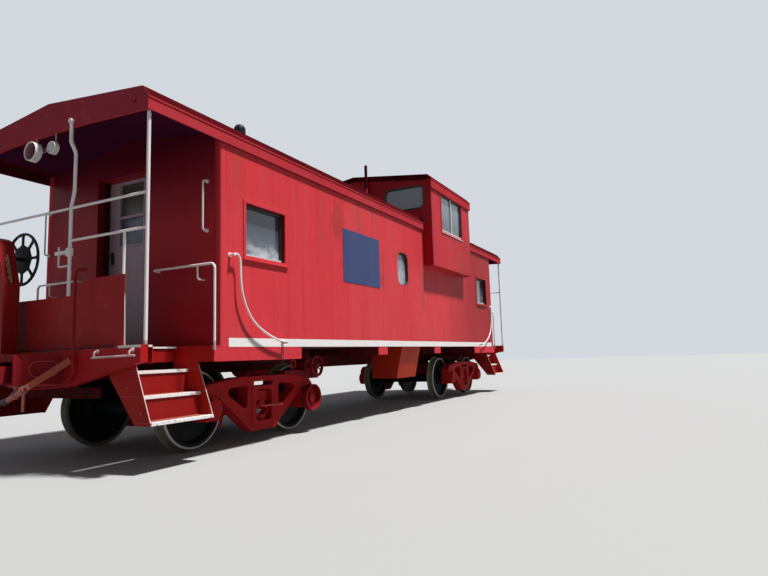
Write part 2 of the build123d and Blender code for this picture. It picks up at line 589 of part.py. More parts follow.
# Steps: three treads between two slanted cheek plates, with riser plates behind.
CHEEK_FOOT_Z = STEP_Z - STEP_T - 3
CHEEK_FOOT_Y = STEP_FRONT - 204
CHEEK_BACK_Y = WELL_Y - 34
CHEEK_BACK_Z = SILL_Z - 264
CHEEK_FRONT_Y = STEP_FRONT - 209
for end_name, end in ENDS:
    for side_name, side in SIDES:
        cheek = [(side * y, z) for y, z in (
            (STEP_FRONT, CHEEK_FOOT_Z), (CHEEK_FOOT_Y, CHEEK_FOOT_Z), (CHEEK_BACK_Y, CHEEK_BACK_Z),
            (CHEEK_BACK_Y, SILL_Z), (WELL_Y, SILL_Z), (WELL_Y, DECK_Z), (BODY_HALF_W, DECK_Z),
            (BODY_HALF_W, BEAM_END_Z), (CHEEK_FRONT_Y, BEAM_END_Z))]
        with BuildPart() as steps:
            for x0, x1 in ((STEP_X0, STEP_X0 + STEP_PLATE), (STEP_X1 - STEP_PLATE, STEP_X1)):
                plate_yz(cheek, end * x0, end * x1)
            for level in range(STEP_LEVELS):
                front = STEP_FRONT - level * STEP_RUN
                top = STEP_Z + level * STEP_RISE
                riser_y = front - STEP_RUN - 12
                block(end * STEP_X0, end * STEP_X1, side * (riser_y - STEP_PLATE), side * front,
                      top - STEP_T, top)
                foot = top if level < STEP_LEVELS - 1 else top + 75
                block(end * STEP_X0, end * STEP_X1, side * riser_y, side * (riser_y - STEP_PLATE), foot - 2,
                      min(top + STEP_RISE - STEP_T + 2, SILL_Z))
        save(steps.part, f"steps_{end_name}_{side_name}")

# End railings: corner posts, rails and a bent post, welded as one, and the two rails that
# run along the end wall and bend down to the edge of the platform.
for end_name, end in ENDS:
    hand = -end
    post_foot = DECK_Z + BEAM_LIP
    with BuildPart() as railing:
        for side in (-1, 1):
            rod((end * POST_X, side * POST_Y, post_foot), (end * POST_X, side * POST_Y, WALL_TOP), POST_R)
            rail_in = -end * DOOR_Y + side * WALL_RAIL_IN
            pipe([(end * WALL_RAIL_X, side * WALL_RAIL_Y, SILL_Z - 30),
                  (end * WALL_RAIL_X, side * WALL_RAIL_Y, WALL_RAIL_Z),
                  (end * WALL_RAIL_X, rail_in, WALL_RAIL_Z), (end * BODY_HALF_L, rail_in, WALL_RAIL_Z)],
                 RAIL_R, 55)
            pipe([(end * WALL_RAIL_X, side * WALL_STAY_Y, WALL_RAIL_Z),
                  (end * WALL_RAIL_X, side * WALL_STAY_Y, WALL_RAIL_Z - 146),
                  (end * BODY_HALF_L, side * WALL_STAY_Y, WALL_RAIL_Z - 146)], WALL_STAY_R, 30)
            block(end * (WALL_RAIL_X - 12), end * (WALL_RAIL_X + RAIL_R), side * BODY_HALF_W, side * WALL_RAIL_Y,
                  SILL_Z - 25, DECK_Z)
        rod((end * POST_X, -POST_Y, RAIL_TOP), (end * POST_X, POST_Y, RAIL_TOP), RAIL_R)
        rod((end * POST_X, -hand * POST_Y, RAIL_MID), (end * POST_X, hand * BENT_POST_Y, RAIL_MID), RAIL_R)
        rod((end * POST_X, hand * SHORT_POST_Y, GUARD_TOP), (end * POST_X, hand * SHORT_POST_Y, RAIL_MID),
            RAIL_R)
        pipe([(end * POST_X, hand * (BENT_POST_Y + 30), ROOF_EDGE_Z + FASCIA_ARCH + 10),
              (end * POST_X, hand * (BENT_POST_Y + 30), RAIL_TOP + 688),
              (end * POST_X, hand * (BENT_POST_Y - 45), RAIL_TOP + 558),
              (end * POST_X, hand * (BENT_POST_Y - 45), RAIL_TOP + 168),
              (end * POST_X, hand * BENT_POST_Y, RAIL_TOP + 8),
              (end * POST_X, hand * BENT_POST_Y, GUARD_LOW_TOP)], POST_R, 60)
    save(railing.part, f"railing_{end_name}")

# Guard panels: two steel sheets welded on the beam below the rails.
GUARD_SPLIT_Y = -375
GUARD_LEFT_Y = BRAKE_Y + 170
for end_name, end in ENDS:
    hand = -end
    with BuildPart() as guard:
        plate_yz([(hand * y, z) for y, z in (
            (SHORT_POST_Y - 37, DECK_Z + BEAM_LIP), (SHORT_POST_Y - 17, GUARD_TOP),
            (GUARD_SPLIT_Y - 185, GUARD_TOP), (GUARD_SPLIT_Y, GUARD_LOW_TOP), (GUARD_LEFT_Y, GUARD_LOW_TOP),
            (GUARD_LEFT_Y, DECK_Z + BEAM_LIP))],
                 end * (POST_X - GUARD_T / 2), end * (POST_X + GUARD_T / 2))
    save(guard.part, f"guard_panel_{end_name}")

# Brake gear at the rear end: the gear housing on its column, with the slot of its chain,
# and the wheel, a dished plate with eight openings between a rolled rim and a wide hub.
HOUSING_Y0 = BRAKE_Y - 180
HOUSING_Y1 = BRAKE_Y + 180
HOUSING_WAIST_Z = BRAKE_Z - 293
HOUSING_FOOT_Z = SILL_Z - 12
HOUSING_NECK_Y = BRAKE_Y - 30
HOUSING_NECK_Z = BRAKE_Z + 162
CHAIN_Z0 = HOUSING_WAIST_Z + 10
CHAIN_Z1 = HOUSING_NECK_Z - 170
CHAIN_SLOT_W = 42
CHAIN_SLOT_DEPTH = 26


def chain_y(z):
    lean = (HOUSING_NECK_Y - HOUSING_Y0) / (HOUSING_NECK_Z - HOUSING_WAIST_Z)
    return HOUSING_Y0 + (z - HOUSING_WAIST_Z) * lean + CHAIN_SLOT_DEPTH


with BuildPart() as housing:
    block(HOUSING_X0, HOUSING_X1, HOUSING_Y0, HOUSING_Y1, HOUSING_FOOT_Z, HOUSING_WAIST_Z)
    plate_yz([(HOUSING_Y0, HOUSING_WAIST_Z), (HOUSING_NECK_Y, HOUSING_NECK_Z), (BRAKE_Y + 50, BRAKE_Z + 197),
              (HOUSING_Y1, BRAKE_Z + 197), (HOUSING_Y1, HOUSING_WAIST_Z)], HOUSING_X0, HOUSING_X1)
    block(HOUSING_X0, -BEAM_FACE, HOUSING_Y0, HOUSING_Y1, HOUSING_FOOT_Z, HOUSING_FOOT_Z + 25)
    plate_yz([(HOUSING_Y0 - 60, CHAIN_Z0), (chain_y(CHAIN_Z0), CHAIN_Z0), (chain_y(CHAIN_Z1), CHAIN_Z1),
              (HOUSING_Y0 - 60, CHAIN_Z1)], HOUSING_X0 + 50, HOUSING_X0 + 50 + CHAIN_SLOT_W, Mode.SUBTRACT)
    rod((HOUSING_X1 - 60, BRAKE_Y, BRAKE_Z), (BRAKE_X, BRAKE_Y, BRAKE_Z), BRAKE_SHAFT_R + RUNNING_GAP,
        Mode.SUBTRACT)
save(housing.part, "brake_housing")

with BuildPart() as brake_wheel:
    rim_mid = BRAKE_R - BRAKE_RIM_R
    rim_in = rim_mid - BRAKE_RIM_R + 2
    with BuildSketch(Plane.XZ.offset(-BRAKE_Y)):
        with Locations((BRAKE_X, BRAKE_Z + rim_mid)):
            RegularPolygon(BRAKE_RIM_R, 12)
    revolve(axis=Axis((BRAKE_X, BRAKE_Y, BRAKE_Z), (1, 0, 0)), revolution_arc=360)
    with BuildSketch(Plane.YZ.offset(BRAKE_X - 8)):
        with Locations((BRAKE_Y, BRAKE_Z)):
            Circle(rim_mid)
        for spoke in range(BRAKE_SPOKES):
            middle = 2 * pi * (spoke + 0.5) / BRAKE_SPOKES
            inner = pi / BRAKE_SPOKES - BRAKE_SPOKE_W / 2 / BRAKE_HUB_R
            outer = pi / BRAKE_SPOKES - BRAKE_SPOKE_W / 2 / rim_in
            corners = [(BRAKE_HUB_R, middle - inner), (rim_in, middle - outer), (rim_in, middle),
                       (rim_in, middle + outer), (BRAKE_HUB_R, middle + inner)]
            with BuildLine():
                FilletPolyline(*[(BRAKE_Y + r * cos(a), BRAKE_Z + r * sin(a)) for r, a in corners],
                               radius=20, close=True)
            make_face(mode=Mode.SUBTRACT)
    extrude(amount=16)
    rod((BRAKE_X, BRAKE_Y, BRAKE_Z), (HOUSING_X1 - 50, BRAKE_Y, BRAKE_Z), BRAKE_SHAFT_R)
save(brake_wheel.part, "brake_wheel")

# Couplers: shank, head and knuckle in the pocket of a striker casting, whose wings widen
# to the beam and carry an oval rib on each side.
COUPLER_Z = SILL_Z - 208
STRIKER = 325
STRIKER_COLLAR = 82
STRIKER_HALF_W = 165
STRIKER_FOOT_HALF_W = 410
STRIKER_Z0 = SILL_Z - 302
STRIKER_Z1 = SILL_Z - 26
STRIKER_WALL = 22
POCKET_TOP = SILL_Z - 92
POCKET_BACK = 60
COLLAR_CHAMFER = 60
RIB_L = 250
RIB_H = 150
RIB_W = 10
RIB_T = 4
SHANK_HALF_W = 65
SHANK_HALF_H = 80
HEAD_H = 280
COUPLER_HEAD = (
    # (x from the striker's face, y)
    (90, -110), (90, 110), (170, 190), (270, 190), (220, 90), (220, -30), (290, -60), (340, -110),
    (340, -200), (260, -215), (150, -190),
)
for end_name, end in ENDS:
    hand = -end
    striker_x = BEAM_FACE + STRIKER
    with BuildPart() as coupler:
        collar_x = striker_x - STRIKER_COLLAR
        with BuildSketch(Plane.XY.offset(STRIKER_Z0)):
            with BuildLine():
                Polyline(*[(end * x, y) for x, y in (
                    (BEAM_FACE, -STRIKER_FOOT_HALF_W), (collar_x, -STRIKER_HALF_W), (striker_x, -STRIKER_HALF_W),
                    (striker_x, STRIKER_HALF_W), (collar_x, STRIKER_HALF_W), (BEAM_FACE, STRIKER_FOOT_HALF_W))],
                    close=True)
            make_face()
        extrude(amount=STRIKER_Z1 - STRIKER_Z0)
        block(end * (BEAM_FACE + POCKET_BACK), end * striker_x, STRIKER_WALL - STRIKER_HALF_W,
              STRIKER_HALF_W - STRIKER_WALL, STRIKER_Z0 + STRIKER_WALL, POCKET_TOP, Mode.SUBTRACT)
        plate_xz([(end * collar_x, STRIKER_Z1 - COLLAR_CHAMFER), (end * collar_x, STRIKER_Z1 + 1),
                  (end * (collar_x + COLLAR_CHAMFER), STRIKER_Z1 + 1)],
                 -STRIKER_HALF_W - 1, STRIKER_HALF_W + 1, Mode.SUBTRACT)
        wing = Vector(STRIKER - STRIKER_COLLAR, STRIKER_HALF_W - STRIKER_FOOT_HALF_W, 0)
        for side in (-1, 1):
            face = Plane(origin=(end * (BEAM_FACE + wing.X / 2), side * (STRIKER_FOOT_HALF_W + wing.Y / 2),
                                 (STRIKER_Z0 + STRIKER_Z1) / 2),
                         x_dir=(end * wing.X, side * wing.Y, 0), z_dir=(-end * wing.Y, side * wing.X, 0))
            with BuildSketch(face):
                RectangleRounded(RIB_L, RIB_H, RIB_H / 2 - 2)
                RectangleRounded(RIB_L - 2 * RIB_W, RIB_H - 2 * RIB_W, RIB_H / 2 - 2 - RIB_W, mode=Mode.SUBTRACT)
            extrude(amount=RIB_T)
        block(end * (BEAM_FACE + POCKET_BACK - 1), end * (striker_x + 110), -SHANK_HALF_W, SHANK_HALF_W,
              COUPLER_Z - SHANK_HALF_H, COUPLER_Z + SHANK_HALF_H)
        with BuildSketch(Plane.XY.offset(COUPLER_Z - HEAD_H / 2)):
            with BuildLine():
                FilletPolyline(*[(end * (striker_x + x), hand * y) for x, y in COUPLER_HEAD], radius=20,
                               close=True)
            make_face()
        extrude(amount=HEAD_H)
    save(coupler.part, f"coupler_{end_name}")

# Tool box and battery box hung under the floor between the trucks, narrower at the foot.
BOX_X0 = -340
BOX_X1 = 400
UNDER_BOX_IN = 800
UNDER_BOX_OUT = BODY_HALF_W - 46
UNDER_BOX_FOOT = BODY_HALF_W - 165
UNDER_BOX_Z = SILL_Z - 520
for side_name, side in SIDES:
    with BuildPart() as box:
        plate_yz([(side * y, z) for y, z in (
            (UNDER_BOX_IN, SILL_Z), (UNDER_BOX_OUT, SILL_Z), (UNDER_BOX_FOOT, UNDER_BOX_Z),
            (UNDER_BOX_IN, UNDER_BOX_Z))], BOX_X0, BOX_X1)
    save(box.part, f"underfloor_box_{side_name}")

# Air reservoir and brake cylinder under the floor, each on two hangers.
TANKS = (
    # name, x0, x1, y, z, radius
    ("air_reservoir", -2100, -1300, 560, SILL_Z - 222, 180),
    ("brake_cylinder", 1300, 1800, -560, SILL_Z - 212, 140),
)
for name, x0, x1, y, z, radius in TANKS:
    with BuildPart() as tank:
        rod((x0, y, z), (x1, y, z), radius)
        for x in (x0 + 130, x1 - 130):
            block(x - 30, x + 30, y - 20, y + 20, z, SILL_Z)
    save(tank.part, name)

# Smoke jack and vent pipe, cut at the foot to the slope of the roof.
JACK_X = -3105
JACK_Y = -350
JACK_R = 62
JACK_CAP_R = 80
JACK_TOP = ROOF_RIDGE_Z + 570
JACK_SKIRT = 60
VENT_X = CUPOLA_X0 - CUPOLA_OVERHANG - 30
VENT_Y = -300
VENT_R = 28
VENT_TOP = CUPOLA_RIDGE_Z + 174
UNDER_ROOF = [(-ROOF_CHAMFER_Y, ROOF_CHAMFER_Z), (0, ROOF_RIDGE_Z), (ROOF_CHAMFER_Y, ROOF_CHAMFER_Z),
              (ROOF_CHAMFER_Y, WALL_TOP), (-ROOF_CHAMFER_Y, WALL_TOP)]
with BuildPart() as jack:
    dome_z = JACK_TOP - JACK_CAP_R
    rod((JACK_X, JACK_Y, ROOF_CHAMFER_Z), (JACK_X, JACK_Y, dome_z), JACK_R)
    rod((JACK_X, JACK_Y, ROOF_CHAMFER_Z), (JACK_X, JACK_Y, ROOF_RIDGE_Z), JACK_R + 50)
    with BuildSketch(Plane.XZ.offset(-JACK_Y)) as dome:
        with BuildLine():
            Line((JACK_X, dome_z - JACK_SKIRT), (JACK_X + JACK_CAP_R, dome_z - JACK_SKIRT))
            Line((JACK_X + JACK_CAP_R, dome_z - JACK_SKIRT), (JACK_X + JACK_CAP_R, dome_z))
            RadiusArc((JACK_X + JACK_CAP_R, dome_z), (JACK_X, JACK_TOP), -JACK_CAP_R)
            Line((JACK_X, JACK_TOP), (JACK_X, dome_z - JACK_SKIRT))
        make_face()
    revolve(dome.sketch, axis=Axis((JACK_X, JACK_Y, 0), (0, 0, 1)), revolution_arc=360)
    plate_yz(UNDER_ROOF, JACK_X - 200, JACK_X + 200, Mode.SUBTRACT)
save(jack.part, "smoke_jack")

with BuildPart() as vent:
    rod((VENT_X, VENT_Y, ROOF_CHAMFER_Z), (VENT_X, VENT_Y, VENT_TOP), VENT_R)
    plate_yz(UNDER_ROOF, VENT_X - 60, VENT_X + 60, Mode.SUBTRACT)
save(vent.part, "vent_pipe")

# Lamps on a plate under the end fascias: a large red one and a small clear one.
LAMPS = (
    # y, z below the wall's top, radius, depth
    (170, -208, 99, 66),
    (-140, -224, 62, 46),
)
LAMP_LIP = 11
LAMP_RECESS = 14
LAMP_PLATE_T = 12
LAMP_PLATE_H = 36
LAMP_HANGER_W = 34
for end_name, end in ENDS:
    hand = -end
    plate_x = ROOF_HALF_L - LAMP_PLATE_T
    plate_z = WALL_TOP + LAMPS[1][1]
    with BuildPart() as lamps:
        block(end * plate_x, end * ROOF_HALF_L, hand * LAMPS[1][0], hand * LAMPS[0][0], plate_z, plate_z + LAMP_PLATE_H)
        for y in (LAMPS[1][0], LAMPS[0][0]):
            block(end * plate_x, end * ROOF_HALF_L, hand * (y - LAMP_HANGER_W / 2), hand * (y + LAMP_HANGER_W / 2),
                  plate_z, ROOF_EDGE_Z + FASCIA_ARCH)
        for y, drop, radius, depth in LAMPS:
            back = (end * (ROOF_HALF_L - 1), hand * y, WALL_TOP + drop)
            rim = (end * (ROOF_HALF_L + depth), hand * y, WALL_TOP + drop)
            seat = (end * (ROOF_HALF_L + depth - LAMP_RECESS), hand * y, WALL_TOP + drop)
            rod(back, rim, radius)
            rod(seat, rim, radius - LAMP_LIP, Mode.SUBTRACT)
    save(lamps.part, f"end_lamps_{end_name}")

# Belt pulley on the inner axle of the rear truck and the generator above it.
PULLEY_R = 168
PULLEY_W = 80
PULLEY_HUB_R = 60
GENERATOR_Z = AXLE_Z + 398
GENERATOR_X = -TRUCK_X + HALF_BASE + 96
GENERATOR_Y = 1180
GENERATOR_R = 138
GENERATOR_RIM_W = 34
GENERATOR_SPOKES = 6
GENERATOR_SEAT = 42
pulley_x = -TRUCK_X + HALF_BASE
with BuildPart() as pulley:
    rod((pulley_x, -AXLE_END, AXLE_Z), (pulley_x, -AXLE_END - 40, AXLE_Z), PULLEY_HUB_R)
    rod((pulley_x, -AXLE_END - 20, AXLE_Z), (pulley_x, -AXLE_END - 20 - PULLEY_W, AXLE_Z), PULLEY_R)
    rod((pulley_x, -AXLE_END - 40, AXLE_Z), (pulley_x, -AXLE_END - 30 - PULLEY_W, AXLE_Z), PULLEY_R - 20,
        Mode.SUBTRACT)
    rod((pulley_x, -AXLE_END - 20, AXLE_Z), (pulley_x, -AXLE_END - 70, AXLE_Z), PULLEY_HUB_R)
save(pulley.part, "axle_pulley")

with BuildPart() as generator:
    rim_half = GENERATOR_RIM_W / 2
    rod((GENERATOR_X, -GENERATOR_Y - rim_half, GENERATOR_Z), (GENERATOR_X, -GENERATOR_Y + rim_half, GENERATOR_Z),
        GENERATOR_R)
    rod((GENERATOR_X, -GENERATOR_Y - rim_half - 5, GENERATOR_Z),
        (GENERATOR_X, -GENERATOR_Y + rim_half + 5, GENERATOR_Z), GENERATOR_R - 20, Mode.SUBTRACT)
    rod((GENERATOR_X, -GENERATOR_Y - rim_half, GENERATOR_Z), (GENERATOR_X, -FRAME_IN, GENERATOR_Z), 32)
    for spoke in range(GENERATOR_SPOKES):
        angle = 2 * pi * spoke / GENERATOR_SPOKES
        rod((GENERATOR_X, -GENERATOR_Y, GENERATOR_Z),
            (GENERATOR_X + (GENERATOR_R - 14) * sin(angle), -GENERATOR_Y,
             GENERATOR_Z + (GENERATOR_R - 14) * cos(angle)), 9)
    rod((GENERATOR_X, -FRAME_OUT + 5, GENERATOR_Z), (GENERATOR_X, -FRAME_IN + 35, GENERATOR_Z), 105)
    slope = 60 / (HALF_BASE + 60 - 430)
    plate_xz([(-TRUCK_X + x, z) for x, z in (
        (430, FRAME_TOP), (HALF_BASE + 40, FRAME_TOP - (HALF_BASE + 40 - 430) * slope),
        (HALF_BASE + 140, FRAME_TOP + 10), (HALF_BASE - 150, FRAME_TOP + GENERATOR_SEAT),
        (430, FRAME_TOP + GENERATOR_SEAT))],
             -FRAME_OUT + 12, -FRAME_IN - 5)
save(generator.part, "axle_generator")

# Curved hand grabs at the corners of the body, each on two pins.
GRAB_OUT = 62
GRAB_R = 12
GRAB_CURVE = (
    # (x in from the body's end, z above the sill)
    (132, 948), (205, 938), (227, 860), (230, 778), (245, 607), (292, 462), (387, 316), (519, 207),
    (673, 133), (852, 73), (1000, 46),
)
for end_name, end in ENDS:
    for side_name, side in SIDES:
        y = side * (BODY_HALF_W + GRAB_OUT)
        curve = [(end * (BODY_HALF_L - x), y, SILL_Z + z) for x, z in GRAB_CURVE]
        with BuildPart() as grab:
            with BuildLine() as route:
                Spline(*curve)
            with BuildSketch(Plane(origin=route.line @ 0, z_dir=route.line % 0)) as section:
                Circle(GRAB_R)
            sweep(section.sketch, path=route.line)
            for x, _, z in (curve[0], curve[-1]):
                rod((x, side * BODY_HALF_W, z), (x, y + side * GRAB_R, z), GRAB_R + 2)
                rod((x, side * BODY_HALF_W, z), (x, side * (BODY_HALF_W + 8), z), 2 * GRAB_R)
        save(grab.part, f"corner_grab_{end_name}_{side_name}")
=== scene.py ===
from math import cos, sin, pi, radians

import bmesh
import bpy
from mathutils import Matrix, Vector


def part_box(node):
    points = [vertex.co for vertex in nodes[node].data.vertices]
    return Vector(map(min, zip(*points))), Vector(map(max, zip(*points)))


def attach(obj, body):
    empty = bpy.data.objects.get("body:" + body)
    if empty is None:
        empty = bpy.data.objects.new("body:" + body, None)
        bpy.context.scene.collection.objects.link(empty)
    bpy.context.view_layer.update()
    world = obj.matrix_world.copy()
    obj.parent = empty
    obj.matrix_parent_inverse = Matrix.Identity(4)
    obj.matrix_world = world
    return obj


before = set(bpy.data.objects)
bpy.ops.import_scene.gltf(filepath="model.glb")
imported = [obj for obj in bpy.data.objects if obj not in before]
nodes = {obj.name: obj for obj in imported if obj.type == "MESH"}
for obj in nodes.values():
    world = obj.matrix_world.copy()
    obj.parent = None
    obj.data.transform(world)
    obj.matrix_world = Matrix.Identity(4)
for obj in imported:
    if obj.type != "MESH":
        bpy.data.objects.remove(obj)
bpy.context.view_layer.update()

# %% [markdown]
# # A steel caboose
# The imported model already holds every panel, wheel and step of the car as plain solids. This lesson
# gives them their paint and adds what is too fine for a solid: bolts, window gaskets, hand grabs,
# pipes and chain. All lengths are in metres. X runs along the car, the near end of the picture is
# at -X, the side in the light is at -Y, and Z is up.

# %% [markdown]
# ## Sizes
# Paint and trim have to follow the solids, so the sizes that several cells share are read from the
# boxes of the solids. Only what no box tells is a number here. The two ends of the car are the same
# drawing, turned by 180 degrees, so a point is given once for the rear. Each lamp has the place of
# its middle, the radius of its lens and how far its rim stands out from the roof's end.

# %% Sizes that several cells share
BODY_HALF_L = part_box("side_wall_right")[1].x
BODY_HALF_W = -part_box("side_wall_right")[0].y
SILL_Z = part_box("side_wall_right")[0].z
WALL_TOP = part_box("side_wall_right")[1].z
BEAM_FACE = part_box("platform_front")[1].x
ROOF_HALF_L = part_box("main_roof_front")[1].x
CUPOLA_X0, CUPOLA_X1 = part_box("cupola_end_rear")[0].x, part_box("cupola_end_front")[1].x
CUPOLA_HALF_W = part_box("cupola_end_front")[1].y
ROOF_SHOULDER = WALL_TOP + 0.020
CUPOLA_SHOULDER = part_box("cupola_roof")[1].z - 0.294
AXLE_Z = 0.447
TRUCK_X = BODY_HALF_L - 1.103
HALF_BASE = 0.853
STEP_X0, STEP_X1 = 4.703, 5.433
TREAD_Z, TREAD_RISE, TREAD_DEPTH = 0.440, 0.222, 0.170
LAMPS = (("red", 0.170, 3.112, 0.099, 0.066), ("clear", -0.140, 3.096, 0.062, 0.046))
ENDS = (("rear", -1), ("front", 1))
SIDES = (("right", -1), ("left", 1))


def at_end(end, *points):
    """Points of the rear end with X counted outward, or the same points of the front end."""
    return [(end * x, -end * y, z) for x, y, z in points]


def box_at_end(end, x0, x1, y0, y1, z0, z1):
    return (end * x0, end * x1, -end * y0, -end * y1, z0, z1)


print("body", round(2 * BODY_HALF_L, 3), "x", round(2 * BODY_HALF_W, 3), "sill at", round(SILL_Z, 3))

# %% [markdown]
# ## One class for all the shader maths
# A paint that is worn, streaked and dusty is a sum of patterns. Wiring each Math node by hand hides
# that sum, so the class below wraps one socket and lets Python's own operators add the nodes. What
# is not plain arithmetic comes from its `node` method, which takes a node's type, its settings and
# the values of its sockets.

# %% The socket wrapper
class Wire:
    """One output socket in a shader tree."""

    def __init__(self, tree, socket):
        self.tree = tree
        self.socket = socket

    def node(self, kind, values=None, output=0, **settings):
        made = self.tree.nodes.new(kind)
        for key, value in settings.items():
            setattr(made, key, value)
        for key, value in (values or {}).items():
            if isinstance(value, Wire):
                self.tree.links.new(value.socket, made.inputs[key])
            else:
                made.inputs[key].default_value = value
        return Wire(self.tree, made.outputs[output])

    def sibling(self, name):
        """Another output of the node that this one comes from."""
        return Wire(self.tree, self.socket.node.outputs[name])

    def maths(self, operation, *values):
        return self.node("ShaderNodeMath", dict(enumerate(values)), operation=operation)

    def __add__(self, other):
        return self.maths("ADD", self, other)

    def __sub__(self, other):
        return self.maths("SUBTRACT", self, other)

    def __rsub__(self, other):
        return self.maths("SUBTRACT", other, self)

    def __mul__(self, other):
        return self.maths("MULTIPLY", self, other)

    __radd__ = __add__
    __rmul__ = __mul__

    def size(self):
        return self.maths("ABSOLUTE", self)

    def rise(self, low, high):
        """0 below low, 1 above high and a straight slope between."""
        return self.node("ShaderNodeMapRange", {"Value": self, "From Min": low, "From Max": high})

    def band(self, low, high, soft=0.002):
        """1 between low and high."""
        return self.rise(low - soft, low + soft) * (1 - self.rise(high - soft, high + soft))

    def past(self, level, soft=0.001):
        """1 beyond a level."""
        return self.rise(level - soft, level + soft)

    def larger(self, other):
        return self.maths("MAXIMUM", self, other)

    def root(self):
        return self.maths("SQRT", self)

    def mix(self, other, share):
        """This colour turned into the other by the share."""
        return self.node("ShaderNodeMix", {0: share, 6: self, 7: linear(other)}, output=2, data_type="RGBA")

    def blend(self, none, full):
        """One colour where this mask is 0 and another where it is 1."""
        return self.node("ShaderNodeMix", {0: self, 6: linear(none), 7: linear(full)}, output=2, data_type="RGBA")


def linear(colour):
    """Three numbers up to 255, as a paint chart gives them, become the linear values of shaders."""
    if not isinstance(colour, tuple) or len(colour) != 3:
        return colour
    return tuple(v / 255 / 12.92 if v <= 10 else ((v / 255 + 0.055) / 1.055) ** 2.4 for v in colour) + (1.0,)


print("the wrapper is ready")

# %% [markdown]
# ## A painted finish
# All the paint on the car is brushed or sprayed enamel that has stood outdoors. Up close it has a
# fine orange peel, from a few steps away it has paler and duller streaks that run down with the
# rain, and at the bottom edges it gathers dust. One builder makes this finish, and each paint gives
# it a colour, a gloss and an amount of wear. The patterns read Object coordinates, so they stay put
# on each panel when the doors swing or the trucks turn.

# %% Builder for painted and bare finishes
def finish(name, colour, rough=0.45, metal=0.0, mottle=0.12, streaks=0.12, faded=None, dirt=0.15,
           dirt_colour=(70, 58, 48), chips=0.0, chip_colour=(92, 46, 30), grain=0.25, coat=0.0, overlay=None,
           bump=0.04, dust_z=None, specular=0.5):
    """A worn material. An overlay is a function that lays more paint on top."""
    material = bpy.data.materials.new(name)
    material.use_nodes = True
    tree = material.node_tree
    shader = tree.nodes["Principled BSDF"]
    place = Wire(tree, tree.nodes.new("ShaderNodeTexCoord").outputs["Object"])
    x = place.node("ShaderNodeSeparateXYZ", {0: place})
    y, z = x.sibling("Y"), x.sibling("Z")

    def noise(scale, detail=3.0, stretch=(1, 1, 1), shift=0.0):
        stretched = place.node("ShaderNodeMapping", {0: place, "Scale": stretch, "Location": (shift, shift, shift)})
        return place.node("ShaderNodeTexNoise", {"Vector": stretched, "Scale": scale, "Detail": detail,
                                                 "Roughness": 0.6})

    colour = linear(colour)
    pale = linear(faded) if faded else tuple(min(1.0, v * 1.25 + 0.02) for v in colour[:3]) + (1.0,)
    deep = tuple(v * 0.72 for v in colour[:3]) + (1.0,)
    cloud = noise(0.9, 4.0)
    fine = noise(14.0, 5.0, shift=3.0)
    tint = (cloud.rise(0.45, 0.80) * mottle * 2).blend(colour, pale)
    tint = tint.mix(deep, (0.5 - noise(2.7, 4.0, shift=7.0)).rise(0, 0.3) * mottle * 1.6)
    rain = noise(5.5, 5.0, stretch=(1, 1, 0.06), shift=1.5)
    rain_wide = noise(1.6, 3.0, stretch=(1, 1, 0.05), shift=5.5)
    tint = tint.mix(pale, (rain.rise(0.52, 0.70) * 0.6 + rain_wide.rise(0.50, 0.70) * 0.8) * streaks * 2)
    tint = tint.mix(deep, (0.46 - rain).rise(0, 0.2) * streaks)
    soil = noise(6.0, 6.0, shift=11.0).rise(0.48, 0.73) * dirt
    if dust_z:
        soil = soil + (1 - z.rise(*dust_z)) * (0.3 + fine) * dirt
    tint = tint.mix(dirt_colour, soil)
    gloss = rough + (cloud - 0.5) * 0.25 + soil * 0.4 + (fine - 0.5) * 0.1
    if chips:
        spot = (noise(26.0, 6.0, shift=17.0) - (0.74 - chips * 0.1)).rise(0, 0.02)
        tint = tint.mix(chip_colour, spot)
        gloss = gloss + spot * 0.3
    if overlay:
        tint, gloss = overlay(x, y, z, noise, tint, gloss)
    gloss = gloss.node("ShaderNodeClamp", {"Value": gloss, "Min": 0.05, "Max": 0.95})
    tree.links.new(tint.socket, shader.inputs["Base Color"])
    tree.links.new(gloss.socket, shader.inputs["Roughness"])
    for socket, value in (("Metallic", metal), ("Coat Weight", coat), ("Coat Roughness", 0.15),
                          ("Specular IOR Level", specular)):
        shader.inputs[socket].default_value = value
    if bump:
        height = noise(90.0, 2.0, shift=2.0) * grain + noise(3.0, 2.0, shift=9.0) * 2.0
        bumped = place.node("ShaderNodeBump", {"Height": height, "Strength": bump, "Distance": 0.02})
        tree.links.new(bumped.socket, shader.inputs["Normal"])
    return material


print("finish builder is ready")

# %% [markdown]
# ## Paint laid over paint
# The car was painted with a brush in one bright red, roof, walls and trucks alike. The sun has
# bleached the sides, so they read paler and pinker than the ends, which stand in the shade of the
# platform roofs. Small masks lay the white stripe, the white step edges and the white wheel rims
# over the red, because on the real car they are only another coat of paint. Other masks paint shade
# into the red: in the window reveals, round the body's corners, in the door jambs, high on the end
# walls, under the platform roofs and over the end beams.

# %% Masks for stripes, edges, rims, worn places and painted shade
WHITE = (242, 239, 236)
RED = (219, 62, 70)


def turned(x, y):
    """Y as the rear end counts it. The front end is the rear, turned by 180 degrees."""
    return y * (1 - x.rise(-0.1, 0.1) * 2)


